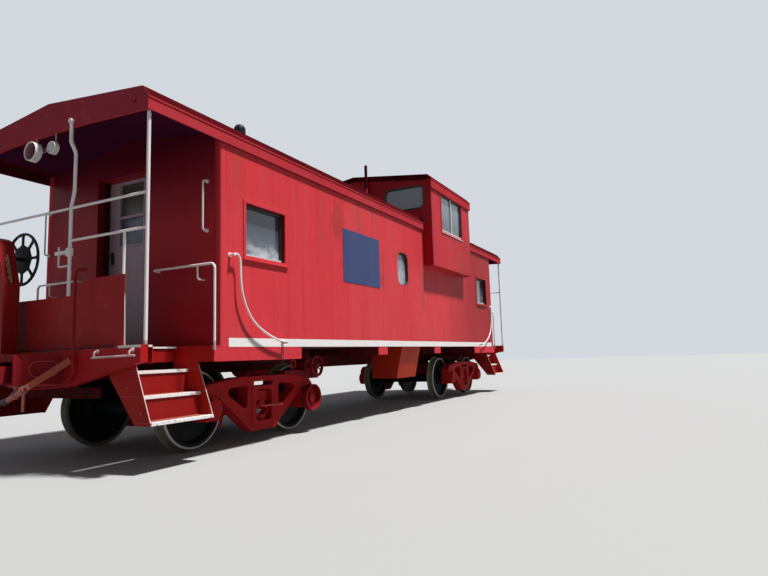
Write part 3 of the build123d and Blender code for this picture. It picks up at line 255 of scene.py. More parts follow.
def wall_stripe_and_shade(x, y, z, noise, tint, gloss):
    """The white band along the foot of each side, the joints of the wall sheets, bleached red, a darker red toward the
    front end and on the cupola bay, and painted shade in the window reveals and round the corner where each side meets
    its end.
    """
    out_x, out_y = x.size(), y.size()
    outside = out_y.rise(BODY_HALF_W - 0.002, BODY_HALF_W - 0.0005)
    tint = tint.mix((140, 16, 22), x.rise(1.4, 3.2) * (1 - z.rise(3.2, 3.4)) * 0.68)
    tint = tint.mix((176, 26, 36), out_y.rise(BODY_HALF_W + 0.10, BODY_HALF_W + 0.11) * 0.45)
    # Painted shade: the inner faces of the window openings are darkened, as the shade in a deep reveal.
    reveal_shade = (1 - out_y.past(BODY_HALF_W - 0.0025, 0.0005)) * z.band(2.0, 2.72) * (1 - out_x.rise(4.5, 4.51))
    tint = tint.mix((52, 14, 20), reveal_shade * 0.75)
    # Painted shade: the sharp corner where side meets end is darkened on both faces, as a rounded bend would shade.
    bend = out_x.rise(BODY_HALF_L - 0.045, BODY_HALF_L) * 0.25
    around = out_x.past(BODY_HALF_L - 0.0015, 0.0005) * (1 - out_y.rise(1.336, BODY_HALF_W))
    tint = tint.mix((160, 20, 36), bend * outside + around * 0.95)
    stripe = z.band(SILL_Z - 0.01, SILL_Z + 0.09) * outside * (1 - out_x.past(4.489))
    worn = noise(24.0, 5.0, shift=4.0).rise(0.66, 0.70) * 0.5
    tint = tint.mix(WHITE, stripe * (1 - worn))
    sheet = x + 12.3
    joint = sheet.maths("MODULO", sheet, 1.22).band(0.0, 0.006, 0.002)
    bleach = noise(2.6, 5.0, stretch=(1, 1, 0.22), shift=21.0).rise(0.55, 0.67) * z.rise(2.0, 3.2)
    patch = noise(1.7, 6.0, stretch=(1.3, 1, 0.5), shift=33.0).rise(0.58, 0.68)
    thin = noise(16.0, 4.0, stretch=(1, 1, 0.03), shift=51.0).rise(0.55, 0.67)
    for colour, share in (((120, 34, 36), joint * 0.35), ((160, 82, 66), bleach * 0.55),
                          ((140, 62, 46), patch * 0.5), ((172, 24, 34), thin * 0.24)):
        tint = tint.mix(colour, share * outside * (1 - stripe))
    return tint, gloss + stripe * 0.05


def roof_coat(x, y, z, noise, tint, gloss):
    """Dark maroon above the drip lines, a faded fascia, and painted plum shade on the undersides of the platform roofs.
    """
    out_x, out_y = x.size(), y.size()
    fascia = out_x.past(ROOF_HALF_L - 0.003)
    lid = z - WALL_TOP - (1.324 - out_y) * 0.136
    under = (1 - lid.rise(0.015, 0.030)) * (1 - out_x.rise(ROOF_HALF_L - 0.030, ROOF_HALF_L - 0.025))
    above = z.rise(ROOF_SHOULDER, ROOF_SHOULDER + 0.002) * (1 - z.rise(WALL_TOP + 0.30, WALL_TOP + 0.31))
    above = (above + z.rise(CUPOLA_SHOULDER, CUPOLA_SHOULDER + 0.002)) * (1 - fascia) * (1 - under)
    old = noise(2.2, 5.0, stretch=(0.4, 1, 1), shift=14.0).rise(0.35, 0.75)
    tint = tint.mix(old.blend((86, 16, 24), (58, 14, 20)), above)
    rubbed = noise(5.0, 6.0, shift=41.0).rise(0.57, 0.62)
    tint = tint.mix((166, 66, 82), fascia * 0.75).mix((196, 104, 100), fascia * rubbed * 0.2)
    # Painted shade: the undersides of the platform roofs are darkened to maroon and plum.
    tint = tint.mix((60, 9, 22), under * (1 - out_y.past(1.439, 0.003)) * 0.9)
    tint = tint.mix((76, 26, 58), under * (1 - out_y.rise(1.20, 1.32)) * 0.95)
    return tint, gloss + above * 0.2


def jamb_and_roof_shade(x, y, z, noise, tint, gloss):
    """The deep door frames are painted near black as shade, and the end walls are painted darker toward the roof as the
    shade under the platform roof.
    """
    out_x = x.size()
    face = out_x.past(BODY_HALF_L - 0.003)
    jamb_shade = (turned(x, y) - 0.09).size().band(0.36, 0.47, 0.005) * out_x.rise(4.0, 4.01) * (1 - face)
    # Painted shade: the end walls darken toward the roof, and the door jambs below go near black.
    tint = tint.mix((72, 10, 36), z.rise(2.4, 3.3) * face * 0.85)
    tint = tint.mix((40, 8, 16), jamb_shade * (0.95 - out_x.rise(BODY_HALF_L - 0.10, BODY_HALF_L - 0.06) * 0.35))
    return tint, gloss + jamb_shade * 0.3


def red_edges(x, y, z, noise, tint, gloss):
    """The strips and pads along the sides of the floor frame have the wall's red."""
    outer = y.size().past(BODY_HALF_W - 0.008, 0.002)
    return tint.mix(RED, outer * (0.75 + noise(12.0, 4.0, shift=6.0) * 0.3)), gloss - outer * 0.2


def step_edges(x, y, z, noise, tint, gloss):
    """White nosings on the treads and the white front edges of the cheek plates."""
    out_x, out_y = x.size(), y.size()
    nosing = tread = z * 0
    for level in range(3):
        top = TREAD_Z + level * TREAD_RISE
        front = BODY_HALF_W - level * TREAD_DEPTH
        nosing = nosing + z.band(top - 0.031, top + 0.002, 0.001) * out_y.band(front - 0.045, front + 0.01, 0.001)
        tread = tread + z.band(top - 0.002, top + 0.002, 0.001)
    worn = noise(30.0, 5.0, shift=4.0).rise(0.60, 0.65) * 0.75
    between = out_x.band(STEP_X0, STEP_X1, 0.0005)
    tint = tint.mix((124, 12, 14), between * 0.6).mix((150, 128, 110), tread * 0.45)
    tint = tint.mix(WHITE, nosing * between * (1 - worn))
    edge = (out_x.band(STEP_X0 - 0.009, STEP_X0 - 0.001, 0.0005)
            + out_x.band(STEP_X1 + 0.001, STEP_X1 + 0.009, 0.0005))
    slant = out_y + (z - 0.409) * 0.388
    slanted = slant.band(BODY_HALF_W - 0.007, BODY_HALF_W + 0.007, 0.001) * (1 - z.rise(0.90, 0.93))
    return tint.mix(WHITE, edge * slanted * (1 - worn) * 0.6), gloss + tread * 0.2


def platform_edges(x, y, z, noise, tint, gloss):
    """The deck's outer edges are white, its top is trodden bare, and a dark line of painted shade marks the gap over
    the beam.
    """
    out_x, out_y, up = x.size(), y.size(), z - SILL_Z
    deck = up.rise(0.017, 0.0175) * (1 - out_x.past(5.480))
    tint = tint.mix((120, 84, 74), deck * (0.35 + noise(5.0, 5.0, shift=8.0) * 0.8))
    edge = up.band(-0.001, 0.019, 0.0005) * out_y.past(BODY_HALF_W - 0.003) * out_x.past(4.7405, 0.0005)
    well = up.band(-0.001, 0.0172, 0.0005) * out_y.band(0.912, 0.9165, 0.0005)
    brow = up.band(-0.002, 0.022, 0.0005) * out_x.past(5.5585, 0.0005) * out_y.past(1.1305, 0.0005)
    tint = tint.mix(WHITE, (edge + well).larger(brow) * 0.95)
    # Painted shade: a dark line where the gap between the guard panel's foot and the beam would lie in shadow.
    seam = up.band(0.003, 0.024, 0.0005) * out_x.past(5.5505, 0.0005)
    return tint.mix((24, 8, 12), seam * (1 - out_y.past(1.082, 0.002)) * 0.9), gloss + deck * 0.25


def striker_ribs(x, y, z, noise, tint, gloss):
    """Dust and rubbed paint pick out the oval rib on each wing of the striker casting."""
    out_x, out_y = x.size() - BEAM_FACE, y.size()
    along = (((out_x - 0.1215) * 0.704 - (out_y - 0.2875) * 0.710).size() - 0.052).larger(0.0)
    up = ((z - (SILL_Z - 0.164)).size() - 0.002).larger(0.0)
    away = (along * along + up * up).root()
    wing = out_x.band(0.01, 0.24) * out_y.band(0.17, 0.40)
    tint = tint.mix((196, 84, 84), away.band(0.061, 0.074) * wing * 0.55)
    return tint.mix((60, 8, 16), away.band(0.051, 0.060) * wing * 0.5), gloss


def wheel_rims(x, y, z, noise, tint, gloss):
    """A white ring on the rim of wheels whose plates are near black, and treads dulled by the rail."""
    along, up = (x.size() - TRUCK_X).size() - HALF_BASE, z - AXLE_Z
    radius = (along * along + up * up).root()
    outer = y.size().past(0.807)
    soiled = noise(7.0, 6.0, shift=2.0).rise(0.42, 0.72)
    tint = tint.mix((150, 148, 126), radius.past(0.401) * (1 - outer) * 0.8)
    tint = tint.mix(WHITE, outer * radius.band(0.395, 0.421) * (1 - soiled * 0.15))
    tint = tint.mix((150, 150, 140), radius.past(0.435) * 0.8)
    return tint.mix((70, 54, 42), (1 - radius.rise(0.075, 0.080)) * 0.7), gloss


def guard_edge(x, y, z, noise, tint, gloss):
    """The upright edge beside the steps is white on each guard panel."""
    edge = (turned(x, y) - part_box("guard_panel_rear")[0].y).size().band(-1, 0.014, 0.001)
    scuffed = noise(6.0, 6.0, stretch=(1, 1, 0.5), shift=27.0).rise(0.60, 0.65)
    return tint.mix((150, 72, 66), scuffed * 0.3).mix(WHITE, edge), gloss


def lamp_paint(x, y, z, noise, tint, gloss):
    """White drums, with their plate and hangers in the dark red of the roof."""
    white = z * 0
    for _, lamp_y, lamp_z, radius, _ in LAMPS:
        across, up = turned(x, y) - lamp_y, z - lamp_z
        white = white + (across * across + up * up).band(-1, (radius + 0.002) ** 2, 0.0002)
    return tint.mix((84, 14, 28), 1 - white), gloss


def sash_paint(x, y, z, noise, tint, gloss):
    """The lower rail of each side window shows the bare aluminium of the sash; the rest keeps a dark colour that is
    painted shade.
    """
    return tint.mix((206, 208, 210), 1 - z.past(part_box("window_right_rear")[0].z + 0.037)), gloss


def high_sash_paint(x, y, z, noise, tint, gloss):
    """The cupola's windows have a white mullion and sill rail in a dark frame."""
    low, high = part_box("window_right_cupola")
    mullion = (x - (low.x + high.x) / 2).size().band(-1, 0.022, 0.001)
    return tint.mix((222, 224, 224), mullion.larger(1 - z.past(low.z + 0.037))), gloss


def post_paint(x, y, z, noise, tint, gloss):
    """The feet of the white posts were caught by the red brush."""
    return tint.mix((150, 40, 40), (1 - z.past(SILL_Z + 0.055, 0.005)) * 0.6), gloss


print("masks: stripe, roof, jambs, steps, deck, ribs, rims, guards, lamps, sashes, posts")

# %% [markdown]
# ## The paints of the body
# Each paint is the same builder with its own colour and wear. The reds differ from part to part as sun
# and hands have worn them, and the red of the coupler and the axle fittings is a darker copy of the
# casting red: painted shade. Their low specular keeps the pale sky from lying on the red.

# %% Paints for the body
wall_red = finish("wall red", RED, rough=0.42, streaks=0.16, faded=(216, 92, 98), dirt=0.06,
                  overlay=wall_stripe_and_shade, dust_z=(1.0, 1.9), bump=0.10, specular=0.06)
end_red = finish("end red", (166, 20, 38), rough=0.40, mottle=0.14, faded=(190, 52, 58),
                 dirt=0.10, dust_z=(1.1, 1.6), bump=0.10, specular=0.12, overlay=jamb_and_roof_shade)
roof_red = finish("roof red", (192, 58, 66), mottle=0.18, streaks=0.1, faded=(200, 88, 88),
                  dirt=0.12, chips=0.2, bump=0.08, overlay=roof_coat, specular=0.0)
deck_red = finish("platform red", (182, 24, 30), mottle=0.16, streaks=0.10, faded=(190, 60, 62),
                  dirt=0.14, chips=0.3, overlay=platform_edges, dust_z=(0.7, 1.0), bump=0.08, specular=0.12)
step_red = finish("step red", (178, 24, 24), rough=0.5, mottle=0.18, faded=(190, 70, 52),
                  dirt=0.16, chips=0.4, overlay=step_edges, dust_z=(0.35, 0.9), bump=0.08, specular=0.12)
panel_red = finish("guard panel red", (170, 24, 28), rough=0.42, mottle=0.18, streaks=0.14, dirt=0.14,
                   faded=(176, 52, 54), dust_z=(1.1, 1.5), bump=0.14, specular=0.12, overlay=guard_edge)
plain_red = finish("fitting red", (150, 22, 28), rough=0.5, mottle=0.18, dirt=0.2, bump=0.1, specular=0.12)
CAST = {"rough": 0.6, "mottle": 0.2, "dirt_colour": (70, 28, 26), "chips": 0.3, "chip_colour": (66, 42, 34),
        "grain": 1.2, "bump": 0.25, "specular": 0.12}
# Painted shade: the coupler and the axle fittings get a darker copy of the casting red, as they lie in shadow under the
# platform and the body.
shaded_casting_red = finish("casting red in shade", (138, 18, 28), dirt=0.2, overlay=striker_ribs, **CAST)
bolt_red = finish("bolt red", (206, 60, 64), rough=0.5, mottle=0.2, dirt=0.3, bump=0)
print("body paints made")

# %% [markdown]
# ## Running gear and fittings
# Castings have a coarser grain than sheet and gather brake dust. Rails and lamps are white enamel,
# and what was never painted is rust, dull steel or rubber.

# %% Paints for the running gear and the fittings
casting_red = finish("casting red", (188, 26, 32), streaks=0.08, dirt=0.22, faded=(190, 60, 54), dust_z=(0.1, 0.5),
                     **CAST)
frame_dark = finish("underframe", (104, 22, 26), rough=0.75, mottle=0.2, dirt=0.5, dirt_colour=(40, 26, 26),
                    dust_z=(0.7, 1.1), grain=1.0, bump=0.3, overlay=red_edges, specular=0.1)
# Painted light: the orange cast of this red stands for warm light thrown up from the ground onto the box's lower side.
box_red = finish("floor box red", (200, 48, 26), rough=0.5, mottle=0.2, faded=(210, 92, 54),
                 dirt=0.2, dust_z=(0.5, 0.9), bump=0.2, specular=0.12)
wheel_paint = finish("wheel", (20, 25, 26), rough=0.6, mottle=0.2, dirt=0.2, dirt_colour=(52, 42, 34),
                     overlay=wheel_rims, grain=0.8, bump=0.2, specular=0.12)
white_enamel = finish("white enamel", (244, 238, 236), rough=0.35, mottle=0.05, streaks=0.05, dirt=0.10,
                      chips=0.4, chip_colour=(150, 96, 84), coat=0.2, overlay=post_paint, bump=0.05)
lamp_white = finish("lamp enamel", (238, 236, 234), rough=0.35, mottle=0.06, dirt=0.2, chips=0.5,
                    chip_colour=(110, 80, 74), overlay=lamp_paint, bump=0.05)
black_enamel = finish("black enamel", (16, 17, 21), rough=0.5, mottle=0.1, dirt=0.12, bump=0.05, specular=0.15)
mauve_paint = finish("door paint", (180, 156, 168), mottle=0.15, streaks=0.15, dirt=0.18,
                     dust_z=(1.15, 1.7), bump=0.08)
plate_blue = finish("plate blue", (43, 58, 106), rough=0.5, mottle=0.08,
                    faded=(66, 80, 128), dirt=0.1, bump=0.05, specular=0.4)
# Painted shade: the side sashes are aluminium, but their head and stiles, deep in the reveal, are painted dark as
# shade.
shaded_sash = finish("shaded aluminium sash", (38, 30, 34), rough=0.5, mottle=0.1, dirt=0.1, overlay=sash_paint)
high_sash = finish("cupola sash", (34, 32, 34), rough=0.5, mottle=0.1, dirt=0.1, overlay=high_sash_paint)
rubber = finish("gasket rubber", (20, 20, 22), rough=0.6, mottle=0.15, dirt=0.25, dirt_colour=(90, 74, 70),
                bump=0.08)
chain_steel = finish("chain steel", (156, 138, 104), rough=0.6, mottle=0.2, dirt=0.3, bump=0.1)
steel_dark = finish("dark steel", (58, 54, 52), rough=0.5, metal=0.6, mottle=0.15, dirt=0.35, bump=0.15)
rust_bar = finish("rusted bar", (178, 84, 62), rough=0.85, mottle=0.35, streaks=0.1, faded=(196, 116, 84),
                  dirt=0.3, chips=0.5, chip_colour=(168, 50, 46), grain=1.5, bump=0.4)
pink_metal = finish("faded fitting", (186, 106, 98), rough=0.6, mottle=0.3, dirt=0.25, faded=(205, 150, 136),
                    chips=0.5, grain=1.0, bump=0.25)
floor_brown = finish("floor boards", (96, 74, 56), rough=0.6, mottle=0.3, dirt=0.4, bump=0.1)
print("all materials", len(bpy.data.materials))

# %% [markdown]
# ## Glass
# The windows are dark inside and mirror the sky, so from outside they read as grey-blue panels that
# are paler at the foot. A see-through pane would show an empty shell, and real cars of this kind
# have blinds, tint or dust behind the glass. So the panes are opaque and glossy, and the mirrored sky
# is painted into their colour: a painted reflection shaded from dark at the head to pale at the sill,
# with painted cloud low down.

# %% Glass and lenses
def glass(name, top, foot, cloud, z0, z1, rough=0.08, coat=0.6):
    # Painted reflection: each pane's colour runs from head to sill and carries painted cloud, as the sky it mirrors
    # would.
    def sky(x, y, z, noise, tint, gloss):
        cloud_reflection = noise(2.6, 5.0, stretch=(1, 1, 1.4), shift=6.0).rise(0.46, 0.58)
        low = 1 - z.rise(z0, z1)
        return tint.mix(foot, low * 0.8).mix(cloud, cloud_reflection * (1 - z.rise(z0 + 0.10, z0 + 0.24)) * 0.8), gloss
    return finish(name, top, rough=rough, mottle=0.05, streaks=0.02, dirt=0.05, coat=coat, overlay=sky, bump=0)


side_glass = glass("window glass", (62, 72, 84), (116, 126, 138), (206, 210, 214), 2.05, 2.45)
pill_glass = glass("pill glass", (112, 122, 128), (176, 184, 186), (206, 210, 212), 2.15, 2.60)
high_glass = glass("cupola glass", (108, 124, 136), (66, 82, 84), (60, 72, 72), 3.35, 3.75)
door_glass = glass("door glass", (66, 66, 54), (52, 62, 84), (96, 108, 130), 2.60, 2.72, rough=0.3, coat=0.1)
red_lens = finish("red lens", (88, 5, 26), rough=0.3, mottle=0.05, dirt=0.05, bump=0, specular=0.1)
clear_lens = finish("clear lens", (186, 188, 184), rough=0.15, mottle=0.2, dirt=0.3, coat=0.5, bump=0)
print("glass and lenses made")

# %% [markdown]
# ## Paint on the solids
# The names of the solids start with what they are, so a table of such starts gives each its paint.
# A window is one solid with sash and pane. The faces of its pane get the glass as a second material.

# %% Hand each CAD node its paint
PAINTED = (
    (wall_red, "side_wall", "cupola_bay"), (end_red, "end_wall", "cupola_end"),
    (roof_red, "main_roof", "cupola_roof", "vent_pipe"), (deck_red, "platform"), (step_red, "steps"),
    (panel_red, "guard_panel"), (plain_red, "brake_housing"), (shaded_casting_red, "coupler", "axle"),
    (casting_red, "air_reservoir", "brake_cylinder", "truck"), (box_red, "underfloor_box"),
    (frame_dark, "underframe"), (wheel_paint, "wheelset"), (white_enamel, "railing", "corner_grab"),
    (lamp_white, "end_lamps"), (black_enamel, "brake_wheel", "smoke_jack"), (mauve_paint, "door"),
    (floor_brown, "cabin_floor"), (shaded_sash, "window"))
for node_name, node in nodes.items():
    paint = next(paint for paint, *starts in PAINTED if node_name.startswith(tuple(starts)))
    pane = side_glass
    if node_name.startswith("window_") and node_name.endswith("cupola"):
        paint, pane = high_sash, high_glass
    node.data.materials.clear()
    node.data.materials.append(paint)
    if not node_name.startswith("window_"):
        continue
    node.data.materials.append(pane)
    low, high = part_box(node_name)
    middle = (low.x + high.x) / 2
    for face in node.data.polygons:
        centre = face.center
        in_light = (low.z + 0.03 < centre.z < high.z - 0.03 and low.x + 0.03 < centre.x < high.x - 0.03
                    and abs(centre.x - middle) > 0.0155)
        if in_light and abs(face.normal.y) > 0.9:
            face.material_index = 1
print("painted nodes", sum(1 for n in nodes.values() if n.data.materials))

# %% [markdown]
# ## Small helpers for shapes
# Trim on a rail car is flat bar, folded sheet and pipe. Flat bar and sheet are boxes with a slight
# bevel, so that their edges catch the light. Several boxes that belong together are one mesh.

# %% Pieces and boxes
def placed(name, data):
    """A new object in the scene."""
    made = bpy.data.objects.new(name, data)
    bpy.context.scene.collection.objects.link(made)
    return made


def settle(made, name, material, body="car_body"):
    """A finished mesh, or a shape still being edited, becomes a piece that rides a body."""
    mesh = made
    if isinstance(made, bmesh.types.BMesh):
        mesh = bpy.data.meshes.new(name)
        made.to_mesh(mesh)
        made.free()
    piece = placed(name, mesh)
    mesh.materials.clear()
    mesh.materials.append(material)
    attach(piece, body)
    return piece


def boxes(name, rows, material, body="car_body", bevel=0.002):
    """Rows of (x0, x1, y0, y1, z0, z1) as one piece."""
    shape = bmesh.new()
    for x0, x1, y0, y1, z0, z1 in rows:
        size = (abs(x1 - x0), abs(y1 - y0), abs(z1 - z0))
        place = Matrix.Translation(((x0 + x1) / 2, (y0 + y1) / 2, (z0 + z1) / 2)) @ Matrix.Diagonal((*size, 1))
        bmesh.ops.create_cube(shape, size=1, matrix=place)
    if bevel:
        bmesh.ops.bevel(shape, geom=list(shape.edges), offset=bevel, segments=1, affect="EDGES")
    return settle(shape, name, material, body)


def frame_rows(x0, x1, z0, z1, bar, y0, y1):
    """Four bars round an opening in a side wall. The sizes are those of the opening."""
    return [(x0 - bar, x1 + bar, y0, y1, z1, z1 + bar), (x0 - bar, x1 + bar, y0, y1, z0 - bar, z0),
            (x0 - bar, x0, y0, y1, z0, z1), (x1, x1 + bar, y0, y1, z0, z1)]


print("box helper is ready")

# %% [markdown]
# ## Pipes by Geometry Nodes
# Grab irons, the brake pipe and the rubber round a pane are all a round section swept along a path.
# A node tree takes the bare path, rounds its corners and sweeps a circle along it. The radius and the
# bend are named inputs, so one tree serves them all. The result is turned into a plain mesh.

# %% The pipe tree
def new_tree(name, **kinds):
    """An empty tree and its named inputs. Each tree takes a mesh and a material besides."""
    tree = bpy.data.node_groups.new(name, "GeometryNodeTree")
    for label, kind in {"Geometry": "Geometry", **kinds, "Material": "Material"}.items():
        tree.interface.new_socket(label, in_out="INPUT", socket_type="NodeSocket" + kind)
    tree.interface.new_socket("Geometry", in_out="OUTPUT", socket_type="NodeSocketGeometry")
    start = tree.nodes.new("NodeGroupInput")
    return tree, {socket.name: Wire(tree, socket) for socket in start.outputs if socket.name}


def close_tree(tree, shape, material):
    """Instances become real, get their material and leave the tree."""
    real = shape.node("GeometryNodeRealizeInstances", {0: shape})
    painted = real.node("GeometryNodeSetMaterial", {0: real, "Material": material})
    tree.links.new(painted.socket, tree.nodes.new("NodeGroupOutput").inputs[0])
    return tree


def pipe_tree():
    tree, given = new_tree("bent pipe", Radius="Float", Bend="Float", Sides="Int")
    path = given["Geometry"].node("GeometryNodeMeshToCurve", {0: given["Geometry"]})
    bent = path.node("GeometryNodeFilletCurve", {"Curve": path, "Radius": given["Bend"], "Count": 5,
                                                 "Limit Radius": True}, mode="POLY")
    circle = path.node("GeometryNodeCurvePrimitiveCircle", {"Resolution": given["Sides"],
                                                            "Radius": given["Radius"]})
    bar = bent.node("GeometryNodeCurveToMesh", {"Curve": bent, "Profile Curve": circle, "Fill Caps": True})
    return close_tree(tree, bar, given["Material"])


def grown(mesh, tree, values, name, material, body):
    """Runs a tree on a mesh and keeps the result as a plain piece."""
    carrier = placed(name + " path", mesh)
    modifier = carrier.modifiers.new("tree", "NODES")
    modifier.node_group = tree
    values = {**values, "Material": material}
    for item in tree.interface.items_tree:
        if item.in_out == "INPUT" and item.name in values:
            modifier[item.identifier] = values[item.name]
    plain = bpy.data.meshes.new_from_object(carrier.evaluated_get(bpy.context.evaluated_depsgraph_get()))
    carrier.modifiers.clear()
    bpy.data.objects.remove(carrier)
    plain.name = name
    shape = bmesh.new()
    shape.from_mesh(plain)
    bmesh.ops.remove_doubles(shape, verts=shape.verts, dist=1e-6)
    bmesh.ops.recalc_face_normals(shape, faces=shape.faces)
    shape.to_mesh(plain)
    shape.free()
    return settle(plain, name, material, body)


PIPE = pipe_tree()


def pipes(name, routes, radius, material, body="car_body", bend=0.0, sides=12):
    """Routes are lists of points. All of them become one piece. Its corners are sharp where bend is 0."""
    points, edges = [], []
    for route in routes:
        first = len(points)
        points += [tuple(p) for p in route]
        edges += [(first + i, first + i + 1) for i in range(len(route) - 1)]
    mesh = bpy.data.meshes.new(name + " path")
    mesh.from_pydata(points, edges, [])
    return grown(mesh, PIPE, {"Radius": radius, "Bend": bend, "Sides": sides}, name, material, body)


print("pipe tree has", len(PIPE.nodes), "nodes")

# %% [markdown]
# ## Bolts by Geometry Nodes
# Bolt heads come in rows. Each row is a set of points with a direction, and the tree puts one head on
# each. The head's radius, height, taper and number of sides are the named inputs: six sides for a
# bolt, twelve or more for the round foot of a grab iron.

# %% The bolt tree
def bolt_tree():
    tree, given = new_tree("bolt heads", Radius="Float", Height="Float", Sides="Int", Taper="Float")
    spots = given["Geometry"].node("GeometryNodeMeshToPoints", {0: given["Geometry"]})
    facing = spots.node("GeometryNodeInputNamedAttribute", {"Name": "facing"}, data_type="FLOAT_VECTOR")
    turn = facing.node("FunctionNodeAlignRotationToVector", {"Vector": facing}, axis="Z")
    head = spots.node("GeometryNodeMeshCone", {
        "Vertices": given["Sides"], "Radius Bottom": given["Radius"],
        "Radius Top": given["Radius"] * given["Taper"], "Depth": given["Height"]})
    heads = spots.node("GeometryNodeInstanceOnPoints", {"Points": spots, "Instance": head, "Rotation": turn})
    return close_tree(tree, heads, given["Material"])


BOLT = bolt_tree()


def pointed(name, spots, attribute, vectors):
    """A mesh of bare points, each with a vector that a tree can read by its name."""
    mesh = bpy.data.meshes.new(name + " points")
    mesh.from_pydata([tuple(p) for p in spots], [], [])
    data = mesh.attributes.new(attribute, "FLOAT_VECTOR", "POINT").data
    data.foreach_set("vector", [v for vector in vectors for v in vector])
    return mesh


def bolts(name, rows, material, body="car_body", radius=0.012, height=0.008, sides=6, taper=0.85):
    """Rows are (point, direction)."""
    mesh = pointed(name, [p for p, _ in rows], "facing", [d for _, d in rows])
    return grown(mesh, BOLT, {"Radius": radius, "Height": height, "Sides": sides, "Taper": taper},
                 name, material, body)


print("bolt tree has", len(BOLT.nodes), "nodes")

# %% [markdown]
# ## Window surrounds
# Each side window sits back in the wall behind a flat steel surround, with a drip sill that sticks
# out below. The cupola's sliding windows have the same surround with a drip cap above. Flat bars do
# for these.

# %% Surrounds of the side windows and the cupola windows
for side_name, side in SIDES:
    face = side * BODY_HALF_W
    rows = []
    screws = []
    for end_name in ("rear", "front"):
        low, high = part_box(f"window_{side_name}_{end_name}")
        rows += frame_rows(low.x, high.x, low.z, high.z, 0.042, face - side * 0.002, face + side * 0.010)
        rows.append((low.x - 0.05, high.x + 0.05, face, face + side * 0.026, low.z - 0.05, low.z - 0.036))
        spots = [(x, z) for x in (low.x - 0.021, high.x + 0.021)
                 for z in (low.z + 0.02, (low.z + high.z) / 2, high.z)]
        screws += [((x, face + side * 0.011, z), (0, side, 0)) for x, z in spots]
    boxes(f"window_surrounds_{side_name}", rows, wall_red)
    bolts(f"window_screws_{side_name}", screws, wall_red, radius=0.006, height=0.004)
    low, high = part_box(f"window_{side_name}_cupola")
    bay = side * CUPOLA_HALF_W
    rows = frame_rows(low.x, high.x, low.z, high.z, 0.030, bay - side * 0.002, bay + side * 0.008)
    rows.append((low.x - 0.05, high.x + 0.05, bay, bay + side * 0.022, high.z + 0.030, high.z + 0.042))
    boxes(f"cupola_surround_{side_name}", rows, wall_red)
    rows = [(low.x - 0.03, high.x + 0.03, bay, bay + side * 0.015, low.z - 0.034, low.z - 0.024)]
    boxes(f"cupola_sill_{side_name}", rows, white_enamel)
print("window surrounds made")

# %% [markdown]
# ## The blue plate
# A thin sheet of painted metal is stuck flat on the right side. It is left blank here.

# %% Blank plate
PLATE_X0, PLATE_X1, PLATE_Z0, PLATE_Z1 = -2.225, -1.148, 1.985, 2.740
plate_y = -BODY_HALF_W
boxes("side_plate", [(PLATE_X0, PLATE_X1, plate_y + 0.002, plate_y - 0.005, PLATE_Z0, PLATE_Z1)], plate_blue,
      bevel=0.001)
print("plate", round(PLATE_X1 - PLATE_X0, 3), "by", round(PLATE_Z1 - PLATE_Z0, 3))

# %% [markdown]
# ## Rubber gaskets
# The pill-shaped lights and the cupola's end windows have no sash: the pane is held in a black rubber
# gasket pressed into the sheet metal. A gasket is a soft ring with a round section that follows the
# window's outline, so the pipe tree can sweep it. The pane behind it is a flat rounded plate.

# %% Rounded outlines
def rounded(width, height, radius, steps=8):
    """Points of a rounded rectangle about the origin."""
    points = []
    for cx, cz, start in ((1, 1, 0), (-1, 1, 90), (-1, -1, 180), (1, -1, 270)):
        for i in range(steps + 1):
            angle = radians(start + 90 * i / steps)
            points.append((cx * (width / 2 - radius) + radius * cos(angle),
                           cz * (height / 2 - radius) + radius * sin(angle)))
    return points


def pane_mesh(name, outline, thickness, material, to_world):
    """A flat plate with the outline. to_world places a point from its two sizes and its depth."""
    shape = bmesh.new()
    back = [shape.verts.new(to_world(u, v, 0)) for u, v in outline]
    front = [shape.verts.new(to_world(u, v, thickness)) for u, v in outline]
    shape.faces.new(back)
    shape.faces.new(list(reversed(front)))
    for i in range(len(outline)):
        shape.faces.new((back[i - 1], back[i], front[i], front[i - 1]))
    bmesh.ops.recalc_face_normals(shape, faces=shape.faces)
    return settle(shape, name, material)


print("outline of a rounded light has", len(rounded(1, 1, 0.1)), "points")

# %% [markdown]
# ## Panes in their gaskets
# The pane sits a few centimetres back in the wall. A round bead of rubber lies in front of it and a
# second one round the edge of the opening.

# %% Pill lights and cupola end windows
PILL = (-0.300, 2.388, 0.400, 0.550, 0.130)
for side_name, side in SIDES:
    x, z, width, height, radius = PILL
    pane_mesh(f"pill_pane_{side_name}", rounded(width - 0.006, height - 0.006, radius - 0.003), 0.006, pill_glass,
              lambda u, v, t: (x + u, side * (BODY_HALF_W - 0.055 + t), z + v))
    ring = rounded(width - 0.010, height - 0.010, radius - 0.005, steps=12)
    path = [(x + u, side * (BODY_HALF_W - 0.018), z + v) for u, v in ring]
    pipes(f"pill_gasket_{side_name}", [path + path[:1]], 0.010, rubber)
    inner = [(x + u, side * (BODY_HALF_W - 0.048), z + v) for u, v in ring]
    pipes(f"pill_bead_{side_name}", [inner + inner[:1]], 0.010, rubber)

for end_name, x_face, end in (("rear", CUPOLA_X0, -1), ("front", CUPOLA_X1, 1)):
    paths = []
    for hand in (-1, 1):
        y, z = hand * (CUPOLA_HALF_W - 0.549), WALL_TOP + 0.538
        pane_mesh(f"cupola_pane_{end_name}_{'right' if hand < 0 else 'left'}", rounded(0.794, 0.429, 0.092), 0.006,
                  high_glass, lambda u, v, t: (x_face - end * (0.030 - t), y + u, z + v))
        ring = rounded(0.790, 0.425, 0.090, steps=10)
        path = [(x_face - end * 0.004, y + u, z + v) for u, v in ring]
        paths.append(path + path[:1])
    pipes(f"cupola_gaskets_{end_name}", paths, 0.016, rubber)
print("gaskets and panes made")

# %% [markdown]
# ## The end doors
# The doors are old flush doors in a greyish mauve, each with a tall two-light window: an upper pane,
# a meeting rail and a lower pane that drops. A knob turned dark and its lock sit at waist height.
# What is fixed to a door rides the door's body, so it swings.

